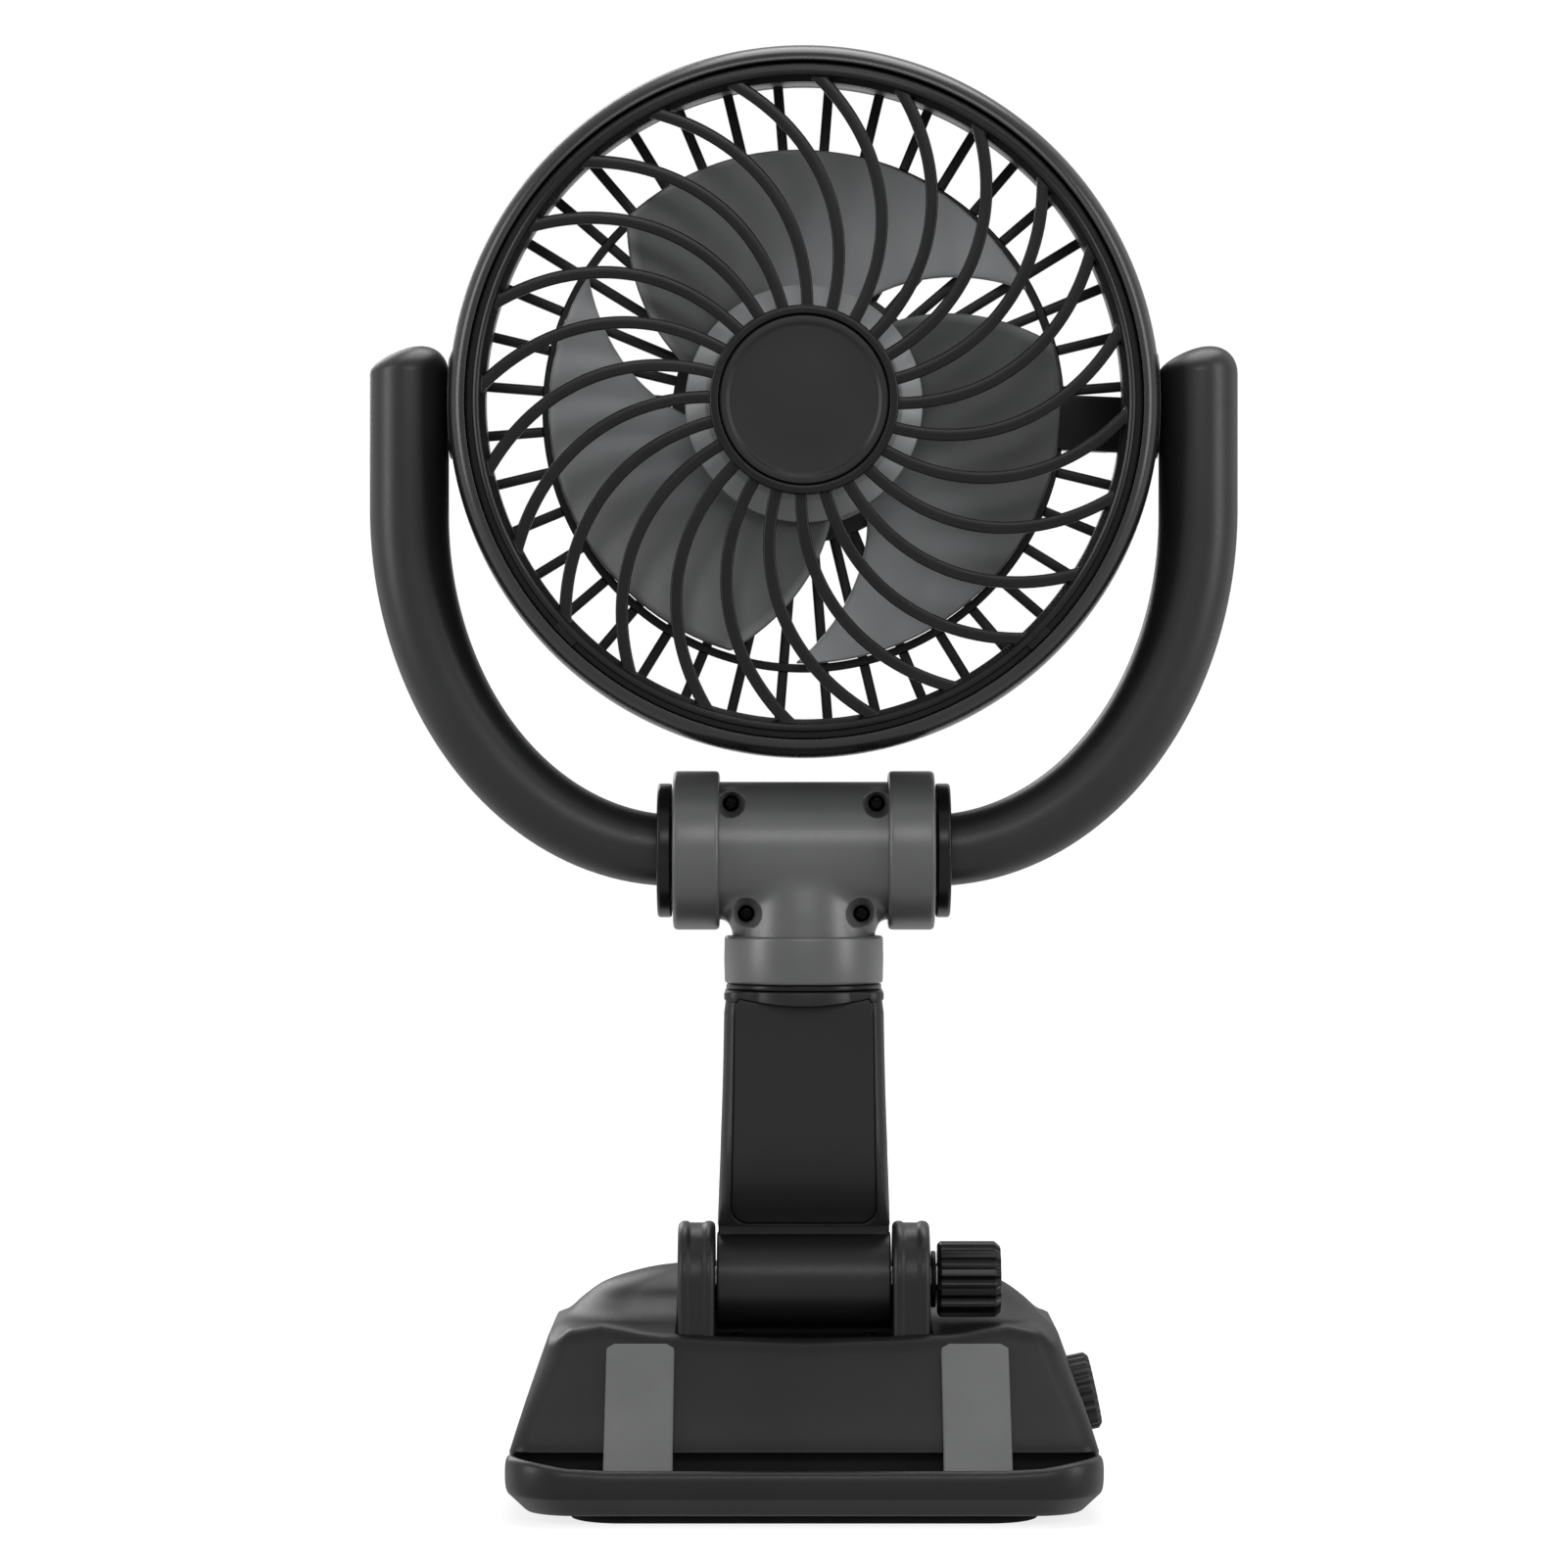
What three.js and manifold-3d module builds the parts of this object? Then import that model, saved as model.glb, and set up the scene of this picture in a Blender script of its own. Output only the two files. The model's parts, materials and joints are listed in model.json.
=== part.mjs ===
// Small dashboard fan: a round caged head turns in a tube yoke, the yoke turns in a grey tee,
// the tee swivels on a folding arm, and the arm is clamped to a console with a phone rest.
// Millimetres, +Z up, the front faces -Y, the origin lies under the middle of the rubber pad.

import * as THREE from 'three';
import { mergeVertices } from 'three/addons/utils/BufferGeometryUtils.js';
import Module from 'manifold-3d';

const wasm = await Module();
wasm.setup();

// Fits that all pieces share
const gap = 0.3;
const overrun = 3;

// Main reaches between the joints
const hingeHeight = 43.6;
const armLength = 57.2;
const teeDrop = 27.4;
const yokeReach = 87.7;
const headClearance = 5;

// Pad and tray under the console, with the lip that holds a phone
const pad = { thickness: 1.5, sideInset: 12.5, endInset: 7, corner: 10 };
const tray = {
  beyondShell: 0.5,
  front: -40,
  back: 44,
  corner: 12,
  floor: 2.4,
  tuck: 6.8,
  tuckHeight: 5.6,
  ledgeHeight: 8.4,
  lipHeight: 11.5,
  lipThickness: 2.5,
  bossRadius: 4,
};
const tuckShares = [[1, 0], [0.48, 0.3], [0.16, 0.68], [0, 1]];
const tuckCornerShare = 0.6;
const lipRoundShare = 0.3;

// Console, a hollow wedge with a crest behind the hinge
const slopeFoot = { y: -29, height: 13.8 };
const slopeHead = { y: -13.6, belowHinge: 11.1 };
const shell = {
  halfWidth: 57,
  back: 43.6,
  crestAboveHinge: 1.4,
  crestY: 24,
  corner: 11,
  wall: 2.2,
  slopeInset: 3.1,
};

// Strips that the phone leans on
const strip = { thickness: 1.4, below: 0.6 };
const stripShares = { left: [-0.674, -0.442], right: [0.467, 0.697] };

// Hinge between console and arm
const barrel = { radius: 9.37, halfLength: 17.1 };
const ear = { radius: 11.5, thickness: 7.4 };
const bracket = { floor: 3.4, back: 13.6, seat: 2.4, screwX: 13, screwBite: 2.5 };
const bolt = { radius: 2.5, grip: 9 };
const nut = { radius: 4.6, thickness: 3.4, sides: 6 };
const endCap = { radius: 5.4, thickness: 1.2 };
const hingeWasher = { radius: 5.6, thickness: 0.9 };
const clampKnob = { radius: 7.5, length: 12.5, flutes: 12, fluteRadius: 1.3, edge: 0.9 };

// Arm, round at the top and flat in front
const arm = {
  topRadius: 15.6,
  halfWidth: 15.7,
  footHalfWidth: 17,
  halfDepth: 12.5,
  corner: 4,
  wall: 2.2,
  topPlate: 2.4,
  cavityCorner: 8,
  cavityFoot: 2.4,
};
const armShares = [
  { height: 0, depth: 0.5, taper: 0 },
  { height: 0.19, depth: 0.64, taper: 0 },
  { height: 0.245, depth: 0.84, taper: 0.1 },
  { height: 0.315, depth: 0.96, taper: 0.25 },
  { height: 0.42, depth: 1, taper: 0.45 },
  { height: 0.88, depth: 1, taper: 1 },
];
const armRoundShare = 0.935;
const panel = {
  halfWidth: 12.1,
  thickness: 1.7,
  sunk: 1.3,
  belowTop: 4.4,
  ledge: 2.2,
  boss: 2.6,
  screwBite: 7,
};
const panelScrewShare = 0.63;
const panelOpenShare = 0.42;

// Tee, two half shells held by three collars and four screws
const tee = { radius: 13.2, halfLength: 25.7, neckRadius: 13.9, swivelGap: 1.4 };
const gusset = { halfWidth: 16.4, top: -11, bottom: -17, halfDepth: 7.5 };
const collar = { radius: 15.65, length: 9.1, edge: 0.7 };
const swivelCollarHeight = 8.3;
const swivelWasher = { radius: 14.6, thickness: 0.7 };
const spigot = { radius: 8.9, bore: 6.9, reach: 15.4, root: 12.8, rootThickness: 1.3 };
const catchRing = { radius: 10.5, height: 6, thickness: 1.7 };
const teeScrewUpper = { x: 14.3, height: 9.3 };
const teeScrewLower = { x: 11.3, height: -12.3 };
const teeBoss = { radius: 3.3, halfDepth: 9.6, seat: 6.6, bite: 11 };

// Yoke, a bent tube in two half shells
const tube = { width: 15.58, footWidth: 14.16, depth: 17, wall: 2 };
const leg = { straight: 20.94, rise: 11.5, dome: 5.2 };
const legLeanShare = 0.24;
const legDomeAngles = [0, 30, 55, 78];
const bend = { intoTee: 0.64, stepPower: 1.35 };
const pivot = {
  gap: 0.53,
  boss: 10.5,
  pad: 6.4,
  padDepth: 3.2,
  pin: 2.2,
  pinHead: 3.4,
  pinHeadThickness: 1.6,
};
const flange = { radius: 13.2, thickness: 2.8, fit: 0.6 };
const yokeScrew = { boss: 2.9, sunk: 1.4, bite: 7 };
const yokeScrewShare = 0.55;

// Head, a shroud with a spiral grille in front and a spoked one behind
const shroud = {
  front: -17.3,
  back: 18.2,
  wall: 4.6,
  lipWall: 3.5,
  frontPocket: 3.6,
  rearPocket: 4.9,
  skirtBack: -9,
  edge: 1.2,
};
const shroudBulge = { from: -12, to: 9, rearTuck: 1.9 };
const shroudShares = { lipSet: 0.33, tuckSet: 0.33, tuckPlace: 0.55 };
const bezel = { set: 4.7, width: 2.8, bead: 0.6, foot: 1.2 };
const tab = { angles: [135.5, 225.5], width: 5.2, depth: 2.4 };
const frontRib = { width: 1.6, depth: 2.4, firstAngle: 2, sweepAngle: 30, count: 24, steps: 5 };
const sweepPower = 1.55;
const ribNearbyShare = 0.025;
const hub = { radius: 18.4, rim: 1.7, front: -18.5, depth: 4.2, floor: 1.6, edge: 0.3 };
const hubCap = { thickness: 1.7, edge: 0.4 };
const rearGrille = {
  thickness: 3,
  rim: 3.3,
  ringWidth: 1.8,
  hubRadius: 26.3,
  inset: 1.6,
};
const rearRingShare = 0.797;
const spoke = { count: 40, width: 1.7, depth: 2 };
const duct = { width: 11, groove: 6.4, grooveDepth: 1.5, cover: 1.1, drop: 2.8 };
const leadRadius = 0.6;

// Motor and impeller along the fan axis
const impeller = { radius: 23.3, front: -9, back: 12, wall: 1.7, chamfer: 4, chamferDepth: 2.2 };
const chamferWallShare = 0.7;
const blade = {
  tipClearance: 10.2,
  root: 0.8,
  thickness: 1.5,
  frontY: -5.5,
  backY: 11,
  camber: 1.4,
  count: 3,
};
const bladeFrontAngles = [46, 76.5];
const bladeBackAngles = [146.5, 182];
const bladeChordSteps = 7;
const bladeReachSteps = 4;
const rotorCup = { wall: 1, back: 9.5, boss: 4, bossHeight: 1 };
const magnet = { thickness: 2.4, front: -4.1, back: 8 };
const airGap = 0.5;
const stator = { front: -3, back: 6, core: 8, teeth: 9, toothWidth: 3, shoe: 1.8, shoeGap: 1.8 };
const winding = { inner: 8.6, outer: 14.4, height: 1.8, slotWidth: 3 };
const motorBoard = { radius: 16, thickness: 1.6 };
const bearingTube = { radius: 4.2, bore: 3.2, front: -4.6 };
const bearing = { length: 2.5, rearInset: 6.6 };
const shaft = { radius: 1.5, back: 14.6 };

// Electronics and speed dial in the console
const board = { halfWidth: 24, front: 6, back: 40.9, thickness: 1.6, post: 5, postRadius: 2.6, inset: 4.5 };
const usb = { halfWidth: 4.6, height: 3.2, depth: 7.4, wall: 0.5, sunk: 0.2 };
const dial = { radius: 7.6, thickness: 5.4, edge: 0.9, tiltAngle: 12, grips: 12, gripRadius: 0.6 };
const dialPlace = { sunk: 4.7, y: 2 };
const dialHeightShare = 0.36;
const dialWell = { floor: 1.8, wall: 1.6 };
const dialShaft = { radius: 1.6, intoDial: 3.4, intoPot: 2 };
const pot = { halfWidth: 5.6, depth: 5 };

// Screws
const screw = { head: 2, headHeight: 1.5, shank: 1.1 };
const caseScrew = { fromSide: 17, front: -19, back: 30, boss: 3.2, bite: 6 };

// Facets of round surfaces
const fine = 40;
const medium = 20;
const small = 10;
const cornerSteps = 3;
const tubeSides = 14;
const bendSteps = 7;

const steps = (count) => Array.from({ length: count }, (_, index) => index);
const between = THREE.MathUtils.lerp;
const radians = THREE.MathUtils.degToRad;
const quarterTurn = Math.PI / 2;
const fullTurn = 360;

// Materials

function finish(color, roughness, metalness = 0) {
  return new THREE.MeshStandardMaterial({ color, roughness, metalness });
}

const blackPlastic = finish(0x2b2c2e, 0.42);
const blackGloss = finish(0x141415, 0.3);
const greyPlastic = finish(0x66686b, 0.5);
const stripRubber = finish(0x6d6e70, 0.75);
const bladePlastic = finish(0x595b5f, 0.38);
const padRubber = finish(0x1b1b1c, 0.9);
const steel = finish(0xb9bcc0, 0.3, 1);
const ferrite = finish(0x3a3a3d, 0.6, 0.3);
const copper = finish(0xb26a3c, 0.35, 1);
const bronze = finish(0xa6814a, 0.4, 1);
const boardGreen = finish(0x1f5a3a, 0.5);

// Closed geometries, joined and cut as solids

function solidOf(geometry) {
  const bare = new THREE.BufferGeometry();
  bare.setAttribute('position', geometry.getAttribute('position'));
  bare.setIndex(geometry.index);
  const merged = geometry.userData.joined ? bare : mergeVertices(bare);
  const corners = merged.index.array;
  const kept = [];
  for (let start = 0; start < corners.length; start += 3) {
    const [a, b, c] = corners.slice(start, start + 3);
    if (a !== b && b !== c && c !== a) kept.push(a, b, c);
  }
  const vertProperties = new Float32Array(merged.getAttribute('position').array);
  const build = (list) => new wasm.Manifold(
    new wasm.Mesh({ numProp: 3, vertProperties, triVerts: new Uint32Array(list) }),
  );
  const solid = build(kept);
  return solid.volume() > 0 ? solid : build(kept.reverse());
}

function geometryOf(solid) {
  const { vertProperties, triVerts } = solid.getMesh();
  const geometry = new THREE.BufferGeometry();
  geometry.setAttribute('position', new THREE.BufferAttribute(vertProperties, 3));
  geometry.setIndex(new THREE.BufferAttribute(triVerts, 1));
  geometry.userData.joined = true;
  return geometry;
}

function join(...geometries) {
  return geometryOf(geometries.map(solidOf).reduce((whole, next) => whole.add(next)));
}

function cut(whole, ...tools) {
  return geometryOf(tools.map(solidOf).reduce((left, tool) => left.subtract(tool), solidOf(whole)));
}

function common(one, other) {
  return geometryOf(solidOf(one).intersect(solidOf(other)));
}

function piece(name, geometry, material) {
  const closed = geometryOf(solidOf(geometry));
  closed.computeVertexNormals();
  const mesh = new THREE.Mesh(closed, material);
  mesh.name = name;
  return mesh;
}

function placed(x, y, z, ...children) {
  const group = new THREE.Group();
  group.position.set(x, y, z);
  return group.add(...children);
}

// Shapes turned about Y, from an outline of radius and place along the axis

function turned(outline, sides) {
  const points = outline.map(([radius, along]) => new THREE.Vector2(radius, along));
  return new THREE.LatheGeometry([...points, points[0].clone()], sides);
}

function band(outer, inner, from, to, sides) {
  return turned([[inner, from], [outer, from], [outer, to], [inner, to]], sides);
}

function rod(radius, from, to, sides = small) {
  return band(radius, 0, from, to, sides);
}

function softBand(outer, inner, from, to, edge, sides) {
  return turned([
    [inner, from], [outer - edge, from], [outer, from + edge],
    [outer, to - edge], [outer - edge, to], [inner, to],
  ], sides);
}

const alongX = (geometry) => geometry.rotateZ(-quarterTurn);
const alongZ = (geometry) => geometry.rotateX(quarterTurn);
const fromBelow = (geometry) => geometry.rotateX(-quarterTurn);
const fromFront = (geometry) => geometry.rotateZ(Math.PI);

// A flat outline pushed along X (its points are y, z) or along Y (its points are x, z)

const xAxis = new THREE.Vector3(1, 0, 0);
const yAxis = new THREE.Vector3(0, 1, 0);
const zAxis = new THREE.Vector3(0, 0, 1);
const pushed = {
  x: new THREE.Matrix4().makeBasis(yAxis, zAxis, xAxis),
  y: new THREE.Matrix4().makeBasis(xAxis, zAxis, yAxis),
};

function prism(axis, outline, from, to) {
  const shape = new THREE.Shape(outline.map(([u, v]) => new THREE.Vector2(u, v)));
  const geometry = new THREE.ExtrudeGeometry(shape, { depth: to - from, bevelEnabled: false });
  return geometry.translate(0, 0, from).applyMatrix4(pushed[axis]);
}

function block(...spans) {
  const sizes = spans.map(([from, to]) => to - from);
  const middles = spans.map(([from, to]) => (from + to) / 2);
  return new THREE.BoxGeometry(...sizes).translate(...middles);
}

// A skin over rings of points, closed at both ends

function skin(rings) {
  const count = rings[0].length;
  const ends = [rings[0], rings[rings.length - 1]].map(middleOf);
  const faces = [];
  for (const level of steps(rings.length - 1)) {
    for (const here of steps(count)) {
      const [a, b] = [level * count + here, level * count + (here + 1) % count];
      faces.push(a, b, b + count, a, b + count, a + count);
    }
  }
  const lastRing = (rings.length - 1) * count;
  const firstEnd = rings.length * count;
  for (const here of steps(count)) {
    const next = (here + 1) % count;
    faces.push(next, here, firstEnd, lastRing + here, lastRing + next, firstEnd + 1);
  }
  return new THREE.BufferGeometry().setFromPoints([...rings.flat(), ...ends]).setIndex(faces);
}

function middleOf(points) {
  const sum = points.reduce((total, point) => total.add(point), new THREE.Vector3());
  return sum.divideScalar(points.length);
}

// A curved slab between two grids of points

function slab(front, back) {
  const [rows, columns] = [front.length, front[0].length];
  const near = (row, column) => row * columns + column;
  const far = (row, column) => rows * columns + near(row, column);
  const faces = [];
  const quad = (a, b, c, d) => faces.push(a, b, c, a, c, d);
  for (const row of steps(rows - 1)) {
    for (const column of steps(columns - 1)) {
      const corners = [[row, column], [row, column + 1], [row + 1, column + 1], [row + 1, column]];
      quad(...corners.map((corner) => near(...corner)));
      quad(...corners.reverse().map((corner) => far(...corner)));
    }
  }
  const rim = [
    ...steps(columns - 1).map((step) => [0, step]),
    ...steps(rows - 1).map((step) => [step, columns - 1]),
    ...steps(columns - 1).map((step) => [rows - 1, columns - 1 - step]),
    ...steps(rows - 1).map((step) => [rows - 1 - step, 0]),
  ];
  rim.forEach((here, place) => {
    const next = rim[(place + 1) % rim.length];
    quad(near(...next), near(...here), far(...here), far(...next));
  });
  return new THREE.BufferGeometry().setFromPoints([...front.flat(), ...back.flat()]).setIndex(faces);
}

// A level rounded rectangle, as one ring of a skin

function levelRing({ halfWidth, front, back, corner }, height) {
  const round = Math.min(corner, halfWidth, (back - front) / 2);
  const insideX = halfWidth - round;
  const centres = [
    [insideX, back - round], [-insideX, back - round],
    [-insideX, front + round], [insideX, front + round],
  ];
  return centres.flatMap(([x, y], quarter) => steps(cornerSteps + 1).map((step) => {
    const angle = quarterTurn * (quarter + step / cornerSteps);
    return new THREE.Vector3(x + round * Math.cos(angle), y + round * Math.sin(angle), height);
  }));
}

// A screw at the origin: its head lies behind the seat, towards +Y, and its shank in front

function screwSolid(length) {
  return join(rod(screw.head, 0, screw.headHeight), rod(screw.shank, -length, gap));
}

function screwHole(length) {
  return join(
    rod(screw.head + gap, -gap, screw.headHeight + overrun),
    rod(screw.shank + gap, -length - gap, 0),
  );
}

// Pad and tray

const trayBottom = pad.thickness + gap;
const trayHalfWidth = shell.halfWidth + tray.beyondShell;
const postTop = trayBottom + tray.floor + board.post;
const caseSeat = trayBottom + screw.headHeight + gap;
const caseScrewLength = tray.ledgeHeight - caseSeat + caseScrew.bite;
const caseScrewX = shell.halfWidth - caseScrew.fromSide;
const caseScrewPlaces = [
  [-caseScrewX, caseScrew.front], [caseScrewX, caseScrew.front],
  [-caseScrewX, caseScrew.back], [caseScrewX, caseScrew.back],
];

function footPad() {
  const outline = {
    halfWidth: trayHalfWidth - pad.sideInset,
    front: tray.front + pad.endInset,
    back: tray.back - pad.endInset,
    corner: pad.corner,
  };
  return skin([levelRing(outline, 0), levelRing(outline, pad.thickness)]);
}

function trayRing(inset) {
  return {
    halfWidth: trayHalfWidth - inset,
    front: tray.front + inset,
    back: tray.back - inset,
    corner: tray.corner - inset * tuckCornerShare,
  };
}

function trayOutside() {
  const tucked = tuckShares.map(([insetShare, heightShare]) => (
    levelRing(trayRing(tray.tuck * insetShare), trayBottom + tray.tuckHeight * heightShare)
  ));
  const round = tray.lipThickness * lipRoundShare;
  return skin([
    ...tucked,
    levelRing(trayRing(0), tray.lipHeight - round),
    levelRing(trayRing(round), tray.lipHeight),
  ]);
}

function baseTray() {
  const top = tray.lipHeight + overrun;
  const hollow = { ...trayRing(tray.tuck), front: slopeFoot.y + shell.wall };
  const groove = { ...trayRing(tray.lipThickness), back: tray.back + overrun };
  const sides = trayHalfWidth + overrun;
  const body = cut(
    trayOutside(),
    skin([levelRing(hollow, trayBottom + tray.floor), levelRing(hollow, top)]),
    skin([levelRing(groove, tray.ledgeHeight), levelRing(groove, top)]),
    block([-sides, sides], [slopeFoot.y - gap, tray.back + overrun], [tray.ledgeHeight, top]),
  );
  const postFoot = trayBottom + tray.floor / 2;
  const posts = boardPosts().map(([x, y]) => (
    alongZ(rod(board.postRadius, postFoot, postTop)).translate(x, y, 0)
  ));
  const bosses = caseScrewPlaces.map(([x, y]) => (
    alongZ(rod(tray.bossRadius, postFoot, tray.ledgeHeight)).translate(x, y, 0)
  ));
  const holes = caseScrewPlaces.map(([x, y]) => (
    fromBelow(screwHole(caseScrewLength)).translate(x, y, caseSeat)
  ));
  return cut(join(body, ...posts, ...bosses), ...holes);
}

function boardPosts() {
  const x = board.halfWidth - board.inset;
  const ys = [board.front + board.inset, board.back - board.inset];
  return ys.flatMap((y) => [[-x, y], [x, y]]);
}

// Console shell

const rimHeight = tray.ledgeHeight + gap;
const slopeHeadHeight = hingeHeight - slopeHead.belowHinge;
const crestHeight = hingeHeight + shell.crestAboveHinge;
const slopeShares = [
  { along: 0, width: 0.993, back: 0.013 },
  { along: 0.33, width: 0.963, back: 0.05 },
  { along: 0.65, width: 0.925, back: 0.12 },
  { along: 1, width: 0.877, back: 0.237 },
];
const crestShares = [
  { along: 0.24, width: 0.827, front: 0.44, back: 0.305, corner: 1.05 },
  { along: 0.44, width: 0.777, front: 0.6, back: 0.39, corner: 1.1 },
  { along: 0.64, width: 0.707, front: 0.694, back: 0.48, corner: 0.95 },
  { along: 0.8, width: 0.614, front: 0.774, back: 0.566, corner: 0.75 },
  { along: 0.92, width: 0.5, front: 0.854, back: 0.694, corner: 0.5 },
  { along: 0.99, width: 0.316, front: 0.934, back: 0.847, corner: 0.24 },
];

function consoleSolid(inset) {
  const frontInset = inset * shell.slopeInset / shell.wall;
  const heightOf = (height) => {
    const share = (height - rimHeight) / (crestHeight - rimHeight);
    return between(rimHeight, crestHeight - inset, share);
  };
  const ringAt = (width, front, back, corner, height) => levelRing({
    halfWidth: shell.halfWidth * width - inset,
    front: front + frontInset,
    back: back - inset,
    corner: (shell.corner - inset) * corner,
  }, heightOf(height));
  const backAt = (share) => between(shell.back, shell.crestY, share);
  const foot = ringAt(1, slopeFoot.y, shell.back, 1, rimHeight);
  const slope = slopeShares.map(({ along, width, back }) => ringAt(
    width,
    between(slopeFoot.y, slopeHead.y, along),
    backAt(back),
    1,
    between(slopeFoot.height, slopeHeadHeight, along),
  ));
  const dome = crestShares.map(({ along, width, front, back, corner }) => ringAt(
    width,
    between(slopeHead.y, shell.crestY, front),
    backAt(back),
    corner,
    between(slopeHeadHeight, crestHeight, along),
  ));
  const opened = foot.map((point) => point.clone().setZ(rimHeight - overrun));
  return skin([...(inset > 0 ? [opened] : []), foot, ...slope, ...dome]);
}

const earOutside = barrel.halfLength + gap + ear.thickness;
const bracketFloorTop = hingeHeight - barrel.radius - gap;
const bracketBottom = bracketFloorTop - bracket.floor;
const slotFloor = bracketBottom - gap;
const bracketSeat = slotFloor - bracket.seat;
const bracketScrewLength = bracket.seat + gap + bracket.screwBite;

function slotWalls() {
  const side = earOutside + gap + shell.wall;
  const walls = block(
    [-side, side],
    [-ear.radius - gap - shell.wall, bracket.back + gap + shell.wall],
    [bracketSeat, crestHeight + overrun],
  );
  return common(walls, consoleSolid(0));
}

function slot() {
  const side = earOutside + gap;
  return block(
    [-side, side],
    [-ear.radius - gap, bracket.back + gap],
    [slotFloor, crestHeight + overrun],
  );
}

function caseBoss([x, y]) {
  return common(
    alongZ(rod(caseScrew.boss, rimHeight, crestHeight)).translate(x, y, 0),
    consoleSolid(0),
  );
}

const dialCentre = [
  shell.halfWidth - dialPlace.sunk,
  dialPlace.y,
  between(slopeFoot.height, slopeHeadHeight, dialHeightShare),
];

function atDial(geometry) {
  return alongX(geometry).rotateY(-radians(dial.tiltAngle)).translate(...dialCentre);
}

function usbOpening() {
  const side = usb.halfWidth + gap;
  const foot = postTop + gap + board.thickness + gap;
  return block(
    [-side, side],
    [shell.back - shell.wall - overrun, shell.back + overrun],
    [foot - gap, foot + usb.height + gap],
  );
}

function baseShell() {
  const wellRadius = dial.radius + gap;
  const well = common(
    atDial(rod(wellRadius + dialWell.wall, -gap - dialWell.floor, dial.thickness, medium)),
    consoleSolid(0),
  );
  const holes = [-bracket.screwX, bracket.screwX].map((x) => (
    fromBelow(screwHole(bracketScrewLength)).translate(x, 0, bracketSeat)
  ));
  const caseHoles = caseScrewPlaces.map(([x, y]) => (
    fromBelow(rod(screw.shank + gap, -caseScrewLength - gap, 0)).translate(x, y, caseSeat)
  ));
  const hollow = cut(consoleSolid(0), consoleSolid(shell.wall));
  return cut(
    join(hollow, slotWalls(), well, ...caseScrewPlaces.map(caseBoss)),
    slot(),
    atDial(rod(wellRadius, -gap, dial.thickness + overrun, medium)),
    atDial(rod(dialShaft.radius + gap, -dialWell.floor - overrun, 0)),
    usbOpening(),
    ...holes,
    ...caseHoles,
  );
}

// Strips that follow the slope and stand on the ledge

function phoneStrip([fromShare, toShare]) {
  const slope = new THREE.Vector2(slopeHead.y - slopeFoot.y, slopeHeadHeight - slopeFoot.height);
  const steepness = slope.y / slope.x;
  const length = slope.length();
  const outward = new THREE.Vector2(-slope.y, slope.x).divideScalar(length);
  const onSlope = (y, offset) => (
    slopeFoot.height + offset * outward.y + (y - slopeFoot.y - offset * outward.x) * steepness
  );
  const inner = slopeFoot.y - gap;
  const outer = inner - strip.thickness;
  const foot = tray.ledgeHeight + gap;
  const head = new THREE.Vector2(slopeHead.y, slopeHeadHeight);
  const top = head.addScaledVector(slope, -strip.below / length);
  const [near, far] = [gap, gap + strip.thickness].map((offset) => (
    top.clone().addScaledVector(outward, offset)
  ));
  return prism('x', [
    [inner, foot], [inner, onSlope(inner, gap)], [near.x, near.y],
    [far.x, far.y], [outer, onSlope(outer, gap + strip.thickness)], [outer, foot],
  ], shell.halfWidth * fromShare, shell.halfWidth * toShare);
}

// Hinge bracket, drawn about the hinge axis

const boltHole = bolt.radius + gap;
const capSeat = earOutside - endCap.thickness - gap;
const nutSeat = capSeat - nut.thickness;

function hingeBracket() {
  const foot = bracketBottom - hingeHeight;
  const dome = steps(medium / 2 + 1).map((step) => {
    const angle = Math.PI * step * 2 / medium;
    return [ear.radius * Math.cos(angle), ear.radius * Math.sin(angle)];
  });
  const outline = [...dome, [-ear.radius, foot], [ear.radius, foot]];
  const inside = barrel.halfLength + gap;
  return cut(
    join(
      prism('x', outline, inside, earOutside),
      prism('x', outline, -earOutside, -inside),
      block([-earOutside, earOutside], [-ear.radius, bracket.back], [foot, foot + bracket.floor]),
    ),
    alongX(rod(boltHole, -earOutside - overrun, earOutside + overrun)),
    alongX(rod(nut.radius + gap, -capSeat - gap, -nutSeat + gap, nut.sides)),
    alongX(rod(endCap.radius + gap, -earOutside - overrun, -capSeat)),
    ...[-bracket.screwX, bracket.screwX].map((x) => (
      alongZ(rod(screw.shank + gap, foot - overrun, foot + bracket.screwBite + gap)).translate(x, 0, 0)
    )),
  );
}

function hexNut() {
  return cut(
    alongX(rod(nut.radius, -capSeat, -nutSeat, nut.sides)),
    alongX(rod(boltHole, -earOutside, -nutSeat + overrun)),
  );
}

// Knob and bolt, both turn together in the ears

const knobFoot = earOutside + gap + hingeWasher.thickness + gap;

function knobSolid() {
  const end = knobFoot + clampKnob.length;
  const flutes = steps(clampKnob.flutes).map((index) => {
    const angle = 2 * Math.PI * index / clampKnob.flutes;
    const groove = alongX(rod(clampKnob.fluteRadius, knobFoot - overrun, end + overrun, small / 2));
    return groove.translate(0, clampKnob.radius * Math.cos(angle), clampKnob.radius * Math.sin(angle));
  });
  return cut(
    alongX(softBand(clampKnob.radius, 0, knobFoot, end, clampKnob.edge, medium)),
    alongX(rod(boltHole, knobFoot - overrun, knobFoot + bolt.grip + gap)),
    ...flutes,
  );
}

// Arm, drawn about the hinge axis

function armRing({ height, depth, taper }) {
  const halfDepth = arm.halfDepth * depth;
  return levelRing({
    halfWidth: between(arm.footHalfWidth, arm.halfWidth, taper),
    front: -halfDepth,
    back: halfDepth,
    corner: arm.corner,
  }, armLength * height);
}

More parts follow.
